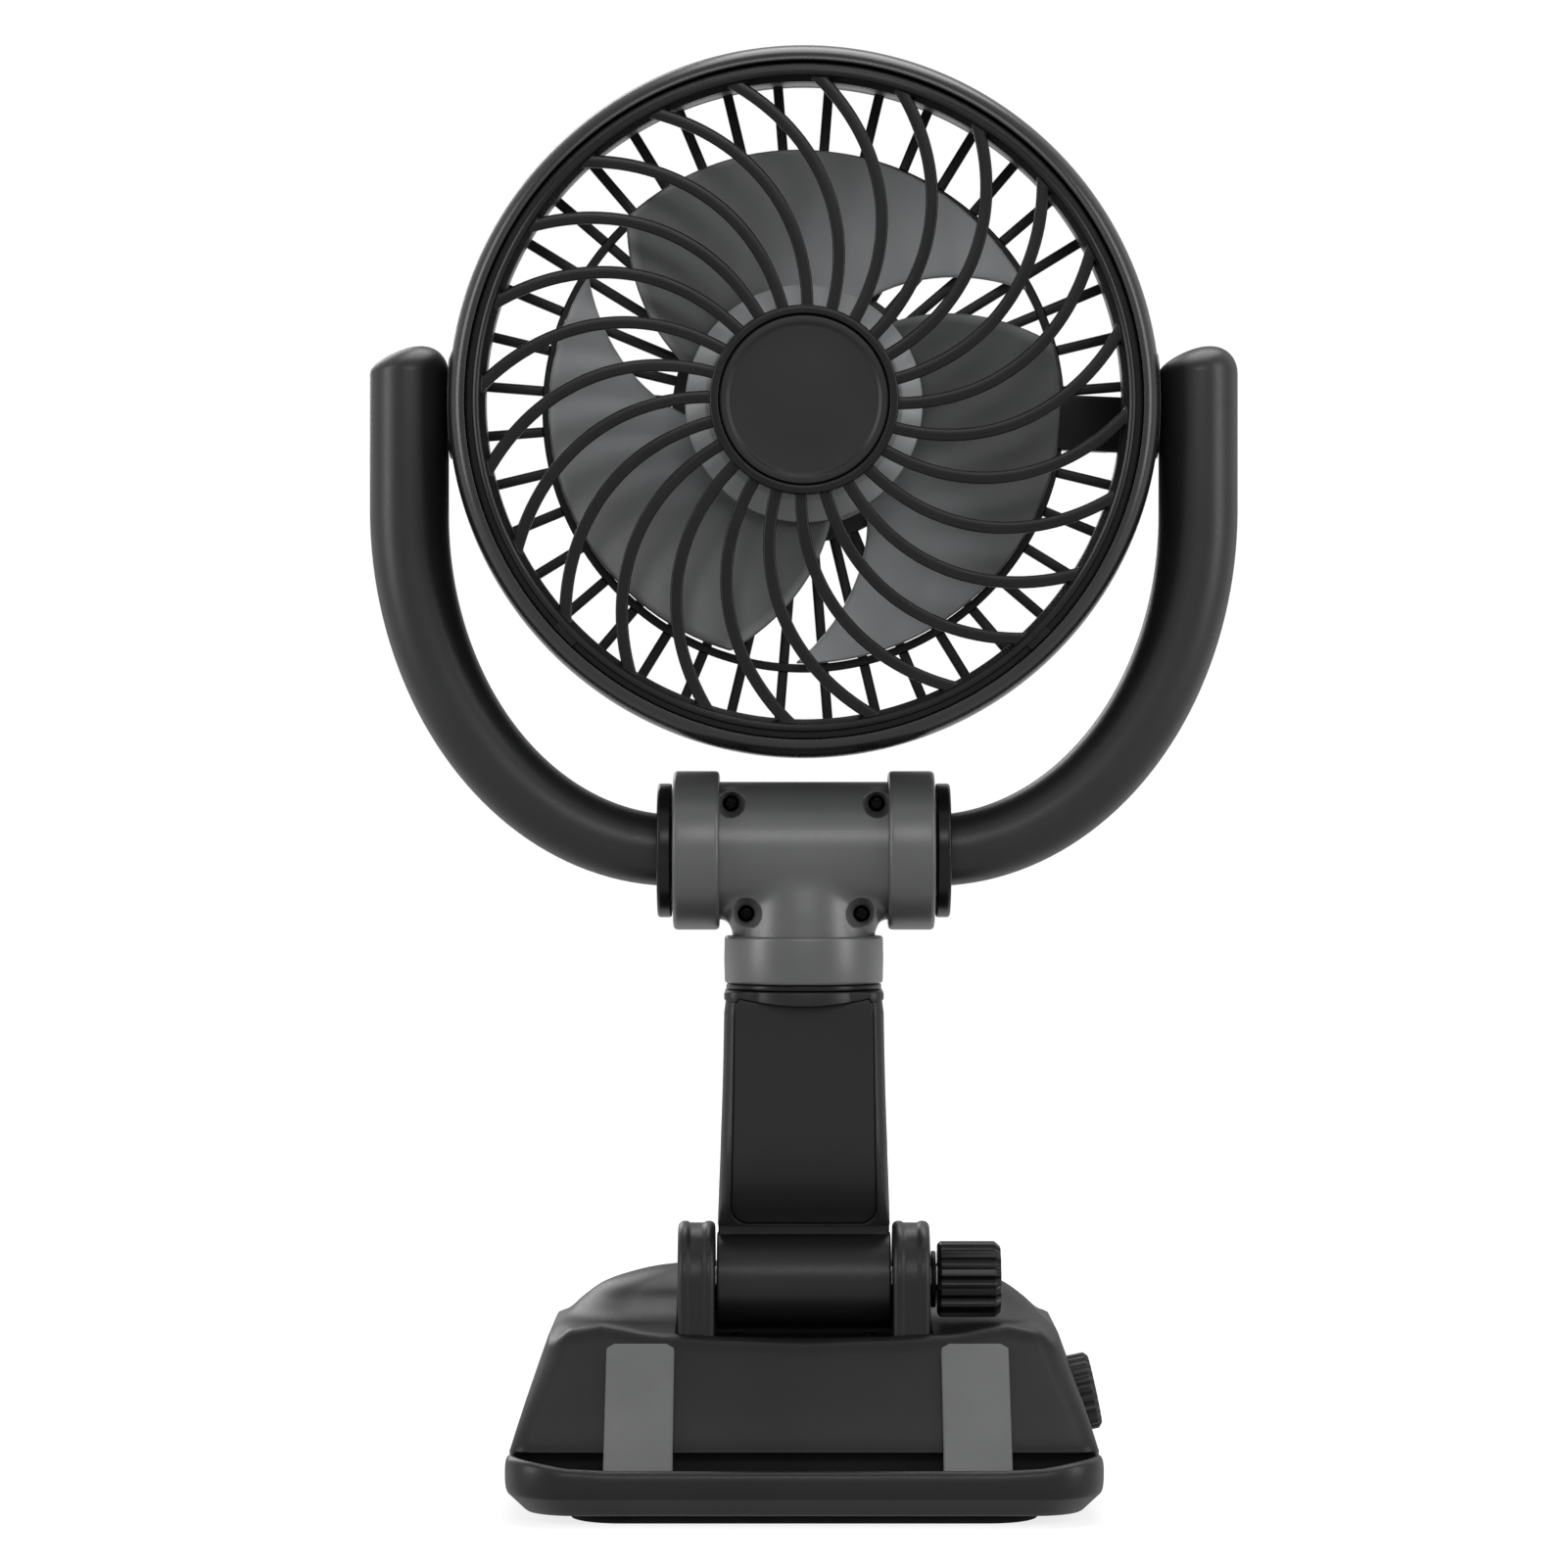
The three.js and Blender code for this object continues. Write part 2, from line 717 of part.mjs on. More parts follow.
function armOutside() {
  const round = {
    halfWidth: arm.topRadius,
    front: -arm.topRadius,
    back: arm.topRadius,
    corner: arm.topRadius,
  };
  return skin([
    ...armShares.map(armRing),
    levelRing(round, armLength * armRoundShare),
    levelRing(round, armLength),
  ]);
}

const panelBack = arm.halfDepth - panel.sunk - panel.thickness;
const cavityFront = -(panelBack - gap - panel.ledge);

function armCavity() {
  const inside = armShares.slice(2).map(({ height, depth, taper }) => levelRing({
    halfWidth: between(arm.footHalfWidth, arm.halfWidth, taper) - arm.wall,
    front: Math.max(cavityFront, arm.wall - arm.halfDepth * depth),
    back: arm.halfDepth * depth - arm.wall,
    corner: arm.cavityCorner,
  }, armLength * height));
  const foot = inside[0].map((point) => point.clone().setZ(barrel.radius + arm.cavityFoot));
  const roof = inside[inside.length - 1].map((point) => point.clone().setZ(armLength - arm.topPlate));
  return skin([foot, ...inside, roof]);
}

function panelFace(offset) {
  const top = armLength - panel.belowTop;
  const bend = armShares.slice(1, -1).map(({ height, depth }) => [
    -(arm.halfDepth * depth - panel.sunk - offset), armLength * height,
  ]);
  return [...bend, [-(arm.halfDepth - panel.sunk - offset), top]];
}

function panelOutline(before, after, margin) {
  const raised = ([y, height], index, list) => [
    y, height + margin * (index === 0 ? -1 : 0) + margin * (index === list.length - 1 ? 1 : 0),
  ];
  return [...panelFace(-before).map(raised), ...panelFace(after).map(raised).reverse()];
}

const panelScrewHeight = armLength * panelScrewShare;
const panelScrewSeat = arm.halfDepth - screw.headHeight;

function panelScrewHole() {
  return screwHole(panel.screwBite).translate(0, panelScrewSeat, panelScrewHeight);
}

function armPanel() {
  const plate = prism('x', panelOutline(0, panel.thickness, 0), -panel.halfWidth, panel.halfWidth);
  const bossEnd = arm.halfDepth - arm.wall - gap;
  const boss = rod(panel.boss, -panelBack - gap, bossEnd).translate(0, 0, panelScrewHeight);
  return cut(join(plate, boss), panelScrewHole());
}

function armShell() {
  const pocketSide = panel.halfWidth + gap;
  const openSide = panel.halfWidth - panel.ledge;
  const [openFoot, openTop] = [armLength * panelOpenShare, armLength - panel.belowTop - panel.ledge];
  return cut(
    join(armOutside(), alongX(rod(barrel.radius, -barrel.halfLength, barrel.halfLength, medium))),
    armCavity(),
    prism('x', panelOutline(overrun, panel.thickness + gap, gap), -pocketSide, pocketSide),
    block([-openSide, openSide], [-arm.halfDepth, 0], [openFoot, openTop]),
    alongX(rod(boltHole, -barrel.halfLength - overrun, barrel.halfLength + overrun)),
    alongZ(rod(spigot.radius + gap, armLength - arm.topPlate - overrun, armLength + overrun, medium)),
    alongZ(rod(spigot.root + gap, armLength - spigot.rootThickness - gap, armLength + overrun, medium)),
    panelScrewHole(),
  );
}

// Spigot and washer on top of the arm, drawn from the arm's top face

function armSpigot() {
  return alongZ(turned([
    [spigot.bore, gap - arm.topPlate],
    [spigot.radius, gap - arm.topPlate],
    [spigot.radius, -spigot.rootThickness],
    [spigot.root, -spigot.rootThickness],
    [spigot.root, 0],
    [spigot.radius, 0],
    [spigot.radius, catchRing.height],
    [catchRing.radius, catchRing.height],
    [catchRing.radius, catchRing.height + catchRing.thickness],
    [spigot.radius, catchRing.height + catchRing.thickness],
    [spigot.radius, spigot.reach],
    [spigot.bore, spigot.reach],
  ], medium));
}

function washer() {
  return alongZ(band(swivelWasher.radius, spigot.radius + gap, gap, gap + swivelWasher.thickness, medium));
}

// Tee, drawn about the yoke's axis in it

const teeFoot = tee.swivelGap - teeDrop;
const yokeBore = tube.footWidth / 2 + gap;
const teeScrews = [
  [-teeScrewUpper.x, teeScrewUpper.height], [teeScrewUpper.x, teeScrewUpper.height],
  [-teeScrewLower.x, teeScrewLower.height], [teeScrewLower.x, teeScrewLower.height],
];

function teeSolid() {
  const { halfWidth, top, bottom, halfDepth } = gusset;
  const flare = prism('y', [
    [-halfWidth, top], [halfWidth, top], [tee.neckRadius, bottom], [-tee.neckRadius, bottom],
  ], -halfDepth, halfDepth);
  const bosses = teeScrews.map(([x, z]) => (
    rod(teeBoss.radius, -teeBoss.halfDepth, teeBoss.halfDepth).translate(x, 0, z)
  ));
  const catchTop = catchRing.height + catchRing.thickness - teeDrop;
  const trimRadius = collar.radius + overrun;
  return cut(
    join(
      alongX(rod(tee.radius, -tee.halfLength, tee.halfLength, medium)),
      alongZ(rod(tee.neckRadius, teeFoot, 0, medium)),
      flare,
      ...bosses,
    ),
    alongX(band(trimRadius, tee.radius, collarFoot, tee.halfLength + overrun, medium)),
    alongX(band(trimRadius, tee.radius, -tee.halfLength - overrun, -collarFoot, medium)),
    alongX(rod(yokeBore, -tee.halfLength - overrun, tee.halfLength + overrun, medium)),
    alongZ(rod(spigot.radius + gap, teeFoot - overrun, spigot.reach - teeDrop + gap, medium)),
    alongZ(rod(catchRing.radius + gap, catchRing.height - teeDrop - gap, catchTop + gap, medium)),
    ...teeScrews.map(([x, z]) => fromFront(screwHole(teeBoss.bite)).translate(x, -teeBoss.seat, z)),
  );
}

const collarFoot = tee.halfLength - collar.length;
const headRadius = yokeReach - tee.radius - headClearance;
const reach = headRadius + yokeReach;

function half(geometry, side) {
  const span = side < 0 ? [-reach, -gap / 2] : [gap / 2, reach];
  return common(geometry, block([-reach, reach], span, [-reach, reach]));
}

function teeCollar(side) {
  const ring = alongX(softBand(
    collar.radius, tee.radius + gap, collarFoot, tee.halfLength, collar.edge, medium,
  ));
  return side < 0 ? ring.rotateZ(Math.PI) : ring;
}

function swivelCollar() {
  return alongZ(softBand(
    collar.radius, tee.neckRadius + gap, teeFoot, teeFoot + swivelCollarHeight, collar.edge, medium,
  ));
}

// Yoke, drawn about its axis in the tee

const legX = headRadius + pivot.gap + tube.width / 2;
const legInside = legX - tube.width / 2;
const bendTop = yokeReach - leg.straight;
const bendFoot = tee.halfLength - bend.intoTee;

function yokeStations(inset) {
  const foot = { x: 0, z: 0, outX: 0, outZ: -1, share: 0 };
  const curve = steps(bendSteps + 1).map((step) => bendAt((step / bendSteps) ** bend.stepPower));
  const crown = yokeReach + leg.rise - leg.dome;
  const dome = legDomeAngles.map((degrees) => ({
    x: legX,
    z: crown + (leg.dome - inset) * Math.sin(radians(degrees)),
    outX: 1,
    outZ: 0,
    share: 1,
    shrink: Math.cos(radians(degrees)),
    lean: legLeanShare * Math.sin(radians(degrees)),
  }));
  const right = [...curve, ...dome];
  const left = right.map((station) => ({ ...station, x: -station.x, outX: -station.outX })).reverse();
  return [...left, foot, ...right];
}

function bendAt(share) {
  const [wide, tall] = [legX - bendFoot, bendTop];
  const angle = quarterTurn * share;
  const heading = new THREE.Vector2(wide * Math.cos(angle), tall * Math.sin(angle)).normalize();
  return {
    x: bendFoot + wide * Math.sin(angle),
    z: tall * (1 - Math.cos(angle)),
    outX: heading.y,
    outZ: -heading.x,
    share,
  };
}

function yokeTube(inset) {
  const rings = yokeStations(inset).map(({ x, z, outX, outZ, share, shrink = 1, lean = 0 }) => {
    const halfWidth = (between(tube.footWidth, tube.width, share) / 2 - inset) * shrink;
    const halfDepth = (between(tube.footWidth, tube.depth, share) / 2 - inset) * shrink;
    return steps(tubeSides).map((index) => {
      const angle = 2 * Math.PI * index / tubeSides;
      const out = halfWidth * Math.cos(angle);
      return new THREE.Vector3(x + out * outX, halfDepth * Math.sin(angle), z + out * outZ + out * lean);
    });
  });
  return skin(rings);
}

function yokeScrewPlaces() {
  const { x, z, share } = bendAt(yokeScrewShare);
  const seat = between(tube.footWidth, tube.depth, share) / 2 - yokeScrew.sunk;
  return [{ x: -x, z, seat }, { x, z, seat }];
}

function yokeSolid() {
  const outside = yokeTube(0);
  const places = yokeScrewPlaces();
  const bosses = places.map(({ x, z }) => (
    common(rod(yokeScrew.boss, -tube.depth, tube.depth).translate(x, 0, z), outside)
  ));
  const bothLegs = (make) => [0, Math.PI].map((turn) => (
    alongX(make()).rotateZ(turn).translate(0, 0, yokeReach)
  ));
  const pads = bothLegs(() => rod(pivot.pad, legInside, legInside + pivot.padDepth));
  const bores = bothLegs(() => rod(pivot.pin + gap, legInside - overrun, legX));
  return cut(
    join(cut(outside, yokeTube(tube.wall)), ...bosses, ...pads),
    ...bores,
    ...places.map(({ x, z, seat }) => screwHole(yokeScrew.bite + seat).translate(x, seat, z)),
  );
}

function yokeFlange(side) {
  const from = tee.halfLength + gap;
  const bore = tube.footWidth / 2 + flange.fit;
  const ring = alongX(band(flange.radius, bore, from, from + flange.thickness, medium));
  return side < 0 ? ring.rotateZ(Math.PI) : ring;
}

// Pivot pins, drawn about the pivot

function pivotPin(side) {
  const headFoot = legInside + pivot.padDepth + gap;
  const pin = alongX(join(
    rod(pivot.pin, shroudInner + gap, headFoot + gap),
    rod(pivot.pinHead, headFoot, headFoot + pivot.pinHeadThickness),
  ));
  return side < 0 ? pin.rotateZ(Math.PI) : pin;
}

// Shroud and grilles, turned about the fan axis

const shroudInner = headRadius - shroud.wall;
const pocketRadius = headRadius - shroud.lipWall;
const rearFace = shroud.back - rearGrille.inset;
const bezelRadius = headRadius - bezel.set;
const bezelInner = bezelRadius - bezel.width;

function shroudSolid() {
  const { front, back, frontPocket, rearPocket, skirtBack, edge } = shroud;
  const { from, to, rearTuck } = shroudBulge;
  const { lipSet, tuckSet, tuckPlace } = shroudShares;
  const ring = turned([
    [pocketRadius, front + edge / 2], [pocketRadius + edge / 2, front], [headRadius - edge, front],
    [headRadius - edge * lipSet, front + edge], [headRadius, from], [headRadius, to],
    [headRadius - rearTuck * tuckSet, between(to, back, tuckPlace)],
    [headRadius - rearTuck, back - edge / 2], [headRadius - rearTuck - edge / 2, back],
    [pocketRadius, back], [pocketRadius, back - rearPocket], [shroudInner, back - rearPocket],
    [shroudInner, skirtBack], [bezelInner, skirtBack],
    [bezelInner, front + frontPocket], [pocketRadius, front + frontPocket],
  ], fine);
  const bossFace = headRadius + pivot.gap - gap;
  const boss = () => alongX(rod(pivot.boss, shroudInner - overrun, bossFace, medium));
  const bore = () => alongX(rod(pivot.pin + gap, shroudInner - overrun, headRadius + overrun));
  const inside = join(
    rod(shroudInner, front - overrun, back + overrun, fine),
    rod(pocketRadius, front - overrun, front + frontPocket, fine),
    rod(pocketRadius, back - rearPocket, back + overrun, fine),
  );
  const bosses = cut(join(boss(), boss().rotateZ(Math.PI)), inside);
  return cut(join(ring, bosses), bore(), bore().rotateZ(Math.PI));
}

function polar(radius, degrees, y) {
  const angle = radians(degrees);
  return new THREE.Vector3(radius * Math.sin(angle), y, radius * Math.cos(angle));
}

function spiralRib(start) {
  const [from, to] = [hub.radius - hub.rim / 2, bezelRadius - bezel.width / 2];
  const centre = (share) => {
    const angle = start - frontRib.sweepAngle * share ** sweepPower;
    return polar(between(from, to, share), angle, 0);
  };
  const rows = steps(frontRib.steps + 1).map((step) => {
    const share = step / frontRib.steps;
    const ahead = centre(Math.min(share + ribNearbyShare, 1));
    const heading = ahead.sub(centre(Math.max(share - ribNearbyShare, 0)));
    const side = new THREE.Vector3(heading.z, 0, -heading.x).setLength(frontRib.width / 2);
    return [-1, 1].map((sign) => centre(share).addScaledVector(side, sign));
  });
  const ribFront = shroud.front + bezel.bead / 2;
  const lifted = (y) => rows.map((row) => row.map((point) => point.clone().setY(y)));
  return slab(lifted(ribFront), lifted(ribFront + frontRib.depth));
}

function frontGrilleSolid() {
  const { front, frontPocket } = shroud;
  const foot = front + frontPocket - gap;
  const ring = turned([
    [bezelInner + bezel.bead, front - bezel.bead / 2], [bezelInner + bezel.bead * 2, front - bezel.bead],
    [bezelRadius - bezel.bead, front - bezel.bead], [bezelRadius, front],
    [bezelRadius, foot - bezel.foot], [pocketRadius - gap, foot - bezel.foot],
    [pocketRadius - gap, foot], [bezelInner, foot], [bezelInner, front + bezel.bead],
  ], fine);
  const hubBack = hub.front + hub.depth;
  const cup = turned([
    [0, hubBack - hub.floor], [hub.radius - hub.rim, hubBack - hub.floor],
    [hub.radius - hub.rim, hub.front + hub.edge], [hub.radius - hub.rim + hub.edge, hub.front],
    [hub.radius - hub.edge, hub.front], [hub.radius, hub.front + hub.edge],
    [hub.radius, hubBack], [0, hubBack],
  ], medium);
  const ribs = steps(frontRib.count).map((index) => (
    spiralRib(frontRib.firstAngle + fullTurn * index / frontRib.count)
  ));
  const tabFoot = front + bezel.bead;
  const tabs = tab.angles.map((angle) => (
    block(
      [-tab.width / 2, tab.width / 2],
      [tabFoot, tabFoot + tab.depth],
      [bezelRadius - bezel.bead, pocketRadius - gap],
    ).rotateY(radians(angle))
  ));
  return join(ring, cup, ...ribs, ...tabs);
}

function hubCapSolid() {
  const back = hub.front + hub.depth - hub.floor - gap;
  const front = back - hubCap.thickness;
  const radius = hub.radius - hub.rim - gap;
  return turned([
    [0, front], [radius - hubCap.edge, front], [radius, front + hubCap.edge], [radius, back], [0, back],
  ], medium);
}

// Rear grille with the slab that carries the lead from the motor to the pivot

const ductTilt = Math.atan2(duct.drop, shroudInner);

function atDuct(geometry) {
  return geometry.rotateY(ductTilt);
}

function spokeSolid(angle) {
  const width = [-spoke.width / 2, spoke.width / 2];
  const span = [rearGrille.hubRadius - spoke.width, pocketRadius - gap - rearGrille.rim / 2];
  return block(width, [rearFace - spoke.depth, rearFace], span).rotateY(radians(angle));
}

function rearGrilleSolid() {
  const front = rearFace - rearGrille.thickness;
  const outer = pocketRadius - gap;
  const { ringWidth, hubRadius } = rearGrille;
  const ringRadius = pocketRadius * rearRingShare;
  const slabFoot = hubRadius - duct.width;
  const half = duct.width / 2;
  return cut(
    join(
      band(outer, outer - rearGrille.rim, front, rearFace, fine),
      band(ringRadius + ringWidth / 2, ringRadius - ringWidth / 2, rearFace - spoke.depth, rearFace, fine),
      rod(hubRadius, front, rearFace, medium),
      ...steps(spoke.count).map((index) => spokeSolid(fullTurn * index / spoke.count)),
      atDuct(block([slabFoot, outer - rearGrille.rim / 2], [front, rearFace], [-half, half])),
    ),
    rod(bearingTube.radius + gap, front - overrun, rearFace + overrun),
    atDuct(ductGroove()),
  );
}

function ductGroove() {
  return block(
    [motorBoard.radius - duct.groove, pocketRadius - rearGrille.rim],
    [rearFace - duct.grooveDepth, rearFace + overrun],
    [-duct.groove / 2, duct.groove / 2],
  );
}

function ductCover() {
  const span = [motorBoard.radius - duct.groove - gap, pocketRadius - rearGrille.rim - gap];
  const depth = [rearFace + gap, rearFace + gap + duct.cover];
  return atDuct(block(span, depth, [-duct.width / 2, duct.width / 2]));
}

function motorLead() {
  const span = [motorBoard.radius - duct.groove + gap, pocketRadius - rearGrille.rim - gap];
  const y = rearFace - duct.grooveDepth + leadRadius + gap;
  return atDuct(alongX(rod(leadRadius, ...span, small / 2)).translate(0, y, 0));
}

// Motor

const cupRadius = impeller.radius - impeller.wall - gap;
const cupFront = impeller.front + impeller.wall + gap;
const magnetRadius = cupRadius - rotorCup.wall - gap;
const magnetInner = magnetRadius - magnet.thickness;
const tubeFit = bearingTube.radius + gap;
const shaftFit = shaft.radius + gap;

function statorSolid() {
  const outer = magnetInner - airGap;
  const shoeInner = outer - stator.shoe;
  const pitch = 2 * Math.PI / stator.teeth;
  const shoeHalf = pitch / 2 - stator.shoeGap / 2 / outer;
  const neckAt = (radius) => Math.asin(stator.toothWidth / 2 / radius);
  const tooth = [
    [stator.core, -neckAt(stator.core)], [shoeInner, -neckAt(shoeInner)],
    [shoeInner, -shoeHalf], [outer, -shoeHalf], [outer, 0], [outer, shoeHalf],
    [shoeInner, shoeHalf], [shoeInner, neckAt(shoeInner)], [stator.core, neckAt(stator.core)],
  ];
  const outline = steps(stator.teeth).flatMap((index) => tooth.map(([radius, offset]) => {
    const angle = pitch * index + offset;
    return [radius * Math.cos(angle), radius * Math.sin(angle)];
  }));
  return cut(
    prism('y', outline, stator.front, stator.back),
    rod(tubeFit, stator.front - overrun, stator.back + overrun),
  );
}

function windingSolid() {
  const { inner, outer, height, slotWidth } = winding;
  const [front, back] = [stator.front - gap, stator.back + gap];
  const [across, along] = [[inner + gap, outer - gap], [front - height / 2, back + height / 2]];
  const bundles = steps(stator.teeth).map((index) => (
    block(across, along, [-slotWidth / 2, slotWidth / 2])
      .rotateY(2 * Math.PI * (index + 0.5) / stator.teeth)
  ));
  return join(
    band(outer, inner, front - height, front, medium),
    band(outer, inner, back, back + height, medium),
    ...bundles,
  );
}

function bearingRing(from) {
  return band(bearingTube.bore - gap, shaftFit, from, from + bearing.length, small);
}

function cupSolid() {
  const { wall, back, boss, bossHeight } = rotorCup;
  const slant = impeller.chamferDepth - gap;
  const shoulder = impeller.radius - impeller.chamfer - gap;
  return turned([
    [shaftFit, cupFront], [shoulder, cupFront], [cupRadius, cupFront + slant], [cupRadius, back],
    [cupRadius - wall, back], [cupRadius - wall, cupFront + slant + wall / 2],
    [shoulder - wall / 2, cupFront + wall], [boss, cupFront + wall],
    [boss, cupFront + wall + bossHeight], [shaftFit, cupFront + wall + bossHeight],
  ], medium);
}

// Impeller

function bladeSolid(turn) {
  const reachFrom = impeller.radius - blade.root;
  const tip = bezelInner - blade.tipClearance;
  const grid = (side) => steps(bladeReachSteps + 1).map((row) => {
    const out = row / bladeReachSteps;
    const radius = between(reachFrom, tip, out);
    const front = between(...bladeFrontAngles, out);
    const back = between(...bladeBackAngles, out);
    return steps(bladeChordSteps + 1).map((column) => {
      const share = column / bladeChordSteps;
      const bow = blade.camber * Math.sin(Math.PI * share);
      const y = between(blade.frontY, blade.backY, share) - bow + side * blade.thickness / 2;
      return polar(radius, turn + between(front, back, share), y);
    });
  });
  return slab(grid(-1), grid(1));
}

function impellerSolid() {
  const { radius, front, back, wall, chamfer, chamferDepth } = impeller;
  const cap = turned([
    [0, front], [radius - chamfer, front], [radius, front + chamferDepth], [radius, back],
    [radius - wall, back], [radius - wall, front + chamferDepth + wall * chamferWallShare],
    [radius - chamfer - gap, front + wall], [0, front + wall],
  ], medium);
  return join(cap, ...steps(blade.count).map((index) => bladeSolid(fullTurn * index / blade.count)));
}

// Control board, speed dial and its potentiometer

const boardFoot = postTop + gap;

function usbSocket() {
  const { halfWidth, height, depth, wall, sunk } = usb;
  const foot = boardFoot + board.thickness + gap;
  const back = shell.back - sunk;
  const inside = halfWidth - wall;
  return cut(
    block([-halfWidth, halfWidth], [back - depth, back], [foot, foot + height]),
    block([-inside, inside], [back - depth + wall, back + overrun], [foot + wall, foot + height - wall]),
  );
}

function dialSolid() {
  const grips = steps(dial.grips).map((index) => {
    const angle = 2 * Math.PI * index / dial.grips;
    const groove = rod(dial.gripRadius, -overrun, dial.thickness + overrun, small / 2);
    return groove.translate(dial.radius * Math.cos(angle), 0, dial.radius * Math.sin(angle));
  });
  return alongX(cut(
    softBand(dial.radius, 0, 0, dial.thickness, dial.edge, medium),
    rod(dialShaft.radius + gap, -overrun, dialShaft.intoDial + gap),
    ...grips,
  ));
}

function potSolid() {
  const face = -gap - dialWell.floor - gap;
  return cut(
    block([face - pot.depth, face], [-pot.halfWidth, pot.halfWidth], [-pot.halfWidth, pot.halfWidth]),
    alongX(rod(dialShaft.radius + gap, face - dialShaft.intoPot - gap, face + overrun)),
  );
}

function dialShaftSolid() {
  const face = -gap - dialWell.floor - gap;
  return alongX(rod(dialShaft.radius, face - dialShaft.intoPot, dialShaft.intoDial));
}

// Assembly, nested as the joints are

const rotorPieces = [
  piece('impeller', impellerSolid(), bladePlastic),
  piece('rotor_cup', cupSolid(), steel),
  piece('magnet_ring', band(magnetRadius, magnetInner, magnet.front, magnet.back, medium), ferrite),
  piece('motor_shaft', rod(shaft.radius, cupFront, shaft.back), steel),
];

const boardBack = rearFace - rearGrille.thickness - gap;
const boardFront = boardBack - motorBoard.thickness;
const headGroup = placed(
  0, 0, yokeReach,
  piece('head_shroud', shroudSolid(), blackPlastic),
  piece('front_grille', frontGrilleSolid(), blackPlastic),
  piece('hub_cap', hubCapSolid(), blackPlastic),
  piece('rear_grille', rearGrilleSolid(), blackPlastic),
  piece('wire_duct_cover', ductCover(), blackGloss),
  piece('motor_lead', motorLead(), padRubber),
  piece('motor_stator', statorSolid(), steel),
  piece('motor_winding', windingSolid(), copper),
  piece('motor_board', band(motorBoard.radius, tubeFit, boardFront, boardBack, medium), boardGreen),
  piece('bearing_tube', band(
    bearingTube.radius, bearingTube.bore, bearingTube.front, rearFace, small,
  ), bronze),
  piece('front_bearing', bearingRing(bearingTube.front), bronze),
  piece('rear_bearing', bearingRing(rearFace - bearing.rearInset), bronze),
  piece('pivot_pin_left', pivotPin(-1), steel),
  piece('pivot_pin_right', pivotPin(1), steel),
  ...rotorPieces,
);

const yokeWhole = yokeSolid();
const yokeScrews = yokeScrewPlaces().map(({ x, z, seat }, index) => piece(
  `yoke_screw_${index + 1}`, screwSolid(yokeScrew.bite + seat).translate(x, seat, z), steel,
));
const yokeGroup = placed(
  0, 0, 0,
  piece('yoke_front_shell', half(yokeWhole, -1), blackPlastic),
  piece('yoke_rear_shell', half(yokeWhole, 1), blackPlastic),
  piece('yoke_flange_left', yokeFlange(-1), blackGloss),
  piece('yoke_flange_right', yokeFlange(1), blackGloss),
  ...yokeScrews,
  headGroup,
);

const teeWhole = teeSolid();
const teeScrewPieces = teeScrews.map(([x, z], index) => piece(
  `tee_screw_${index + 1}`, fromFront(screwSolid(teeBoss.bite)).translate(x, -teeBoss.seat, z), steel,
));
const teeGroup = placed(
  0, 0, armLength + teeDrop,
  piece('tee_front_shell', half(teeWhole, -1), greyPlastic),
  piece('tee_rear_shell', half(teeWhole, 1), greyPlastic),
  piece('tee_collar_left', teeCollar(-1), greyPlastic),
  piece('tee_collar_right', teeCollar(1), greyPlastic),
  piece('swivel_collar', swivelCollar(), greyPlastic),
  ...teeScrewPieces,
  yokeGroup,
);

const armGroup = placed(
  0, 0, hingeHeight,
  piece('arm_rear_shell', armShell(), blackPlastic),
  piece('arm_front_panel', armPanel(), blackPlastic),
  piece('arm_screw', screwSolid(panel.screwBite).translate(0, panelScrewSeat, panelScrewHeight), steel),
  placed(
    0, 0, armLength,
    piece('arm_spigot', armSpigot(), blackPlastic),
    piece('swivel_washer', washer(), blackGloss),
  ),
  teeGroup,
);

const hingeGroup = placed(
  0, 0, hingeHeight,
  piece('hinge_bracket', hingeBracket(), blackPlastic),
  piece('hinge_nut', hexNut(), steel),
  piece('hinge_end_cap', alongX(rod(
    endCap.radius, -earOutside, endCap.thickness - earOutside,
  )), blackPlastic),
  piece('hinge_washer', alongX(band(
    hingeWasher.radius, boltHole, earOutside + gap, earOutside + gap + hingeWasher.thickness, medium,
  )), steel),
  piece('clamp_knob', knobSolid(), blackPlastic),
  piece('clamp_bolt', alongX(rod(bolt.radius, -capSeat + gap, knobFoot + bolt.grip)), steel),
);

const dialGroup = placed(
  ...dialCentre,
  piece('speed_dial', dialSolid(), blackPlastic),
  piece('dial_shaft', dialShaftSolid(), steel),
  piece('speed_pot', potSolid(), ferrite),
);
dialGroup.rotation.y = -radians(dial.tiltAngle);

const baseGroup = placed(
  0, 0, 0,
  piece('foot_pad', footPad(), padRubber),
  piece('base_tray', baseTray(), blackPlastic),
  piece('base_shell', baseShell(), blackPlastic),
  piece('phone_strip_left', phoneStrip(stripShares.left), stripRubber),
  piece('phone_strip_right', phoneStrip(stripShares.right), stripRubber),
  piece('control_board', block(
    [-board.halfWidth, board.halfWidth],
    [board.front, board.back],
    [boardFoot, boardFoot + board.thickness],
  ), boardGreen),
  piece('usb_socket', usbSocket(), steel),
  ...caseScrewPlaces.map(([x, y], index) => piece(
    `case_screw_${index + 1}`,
    fromBelow(screwSolid(caseScrewLength)).translate(x, y, caseSeat),
    steel,
  )),
  ...[-bracket.screwX, bracket.screwX].map((x, index) => piece(
    `bracket_screw_${index + 1}`,
    fromBelow(screwSolid(bracketScrewLength)).translate(x, 0, bracketSeat),
    steel,
  )),
  dialGroup,
);

const fan = new THREE.Group();
fan.add(baseGroup, hingeGroup, armGroup);

export default fan;
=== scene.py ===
import json
from functools import partial
from math import acos, atan2, cos, pi, radians, sin, sqrt, tan
import bmesh
import bpy
from mathutils import Matrix, Vector


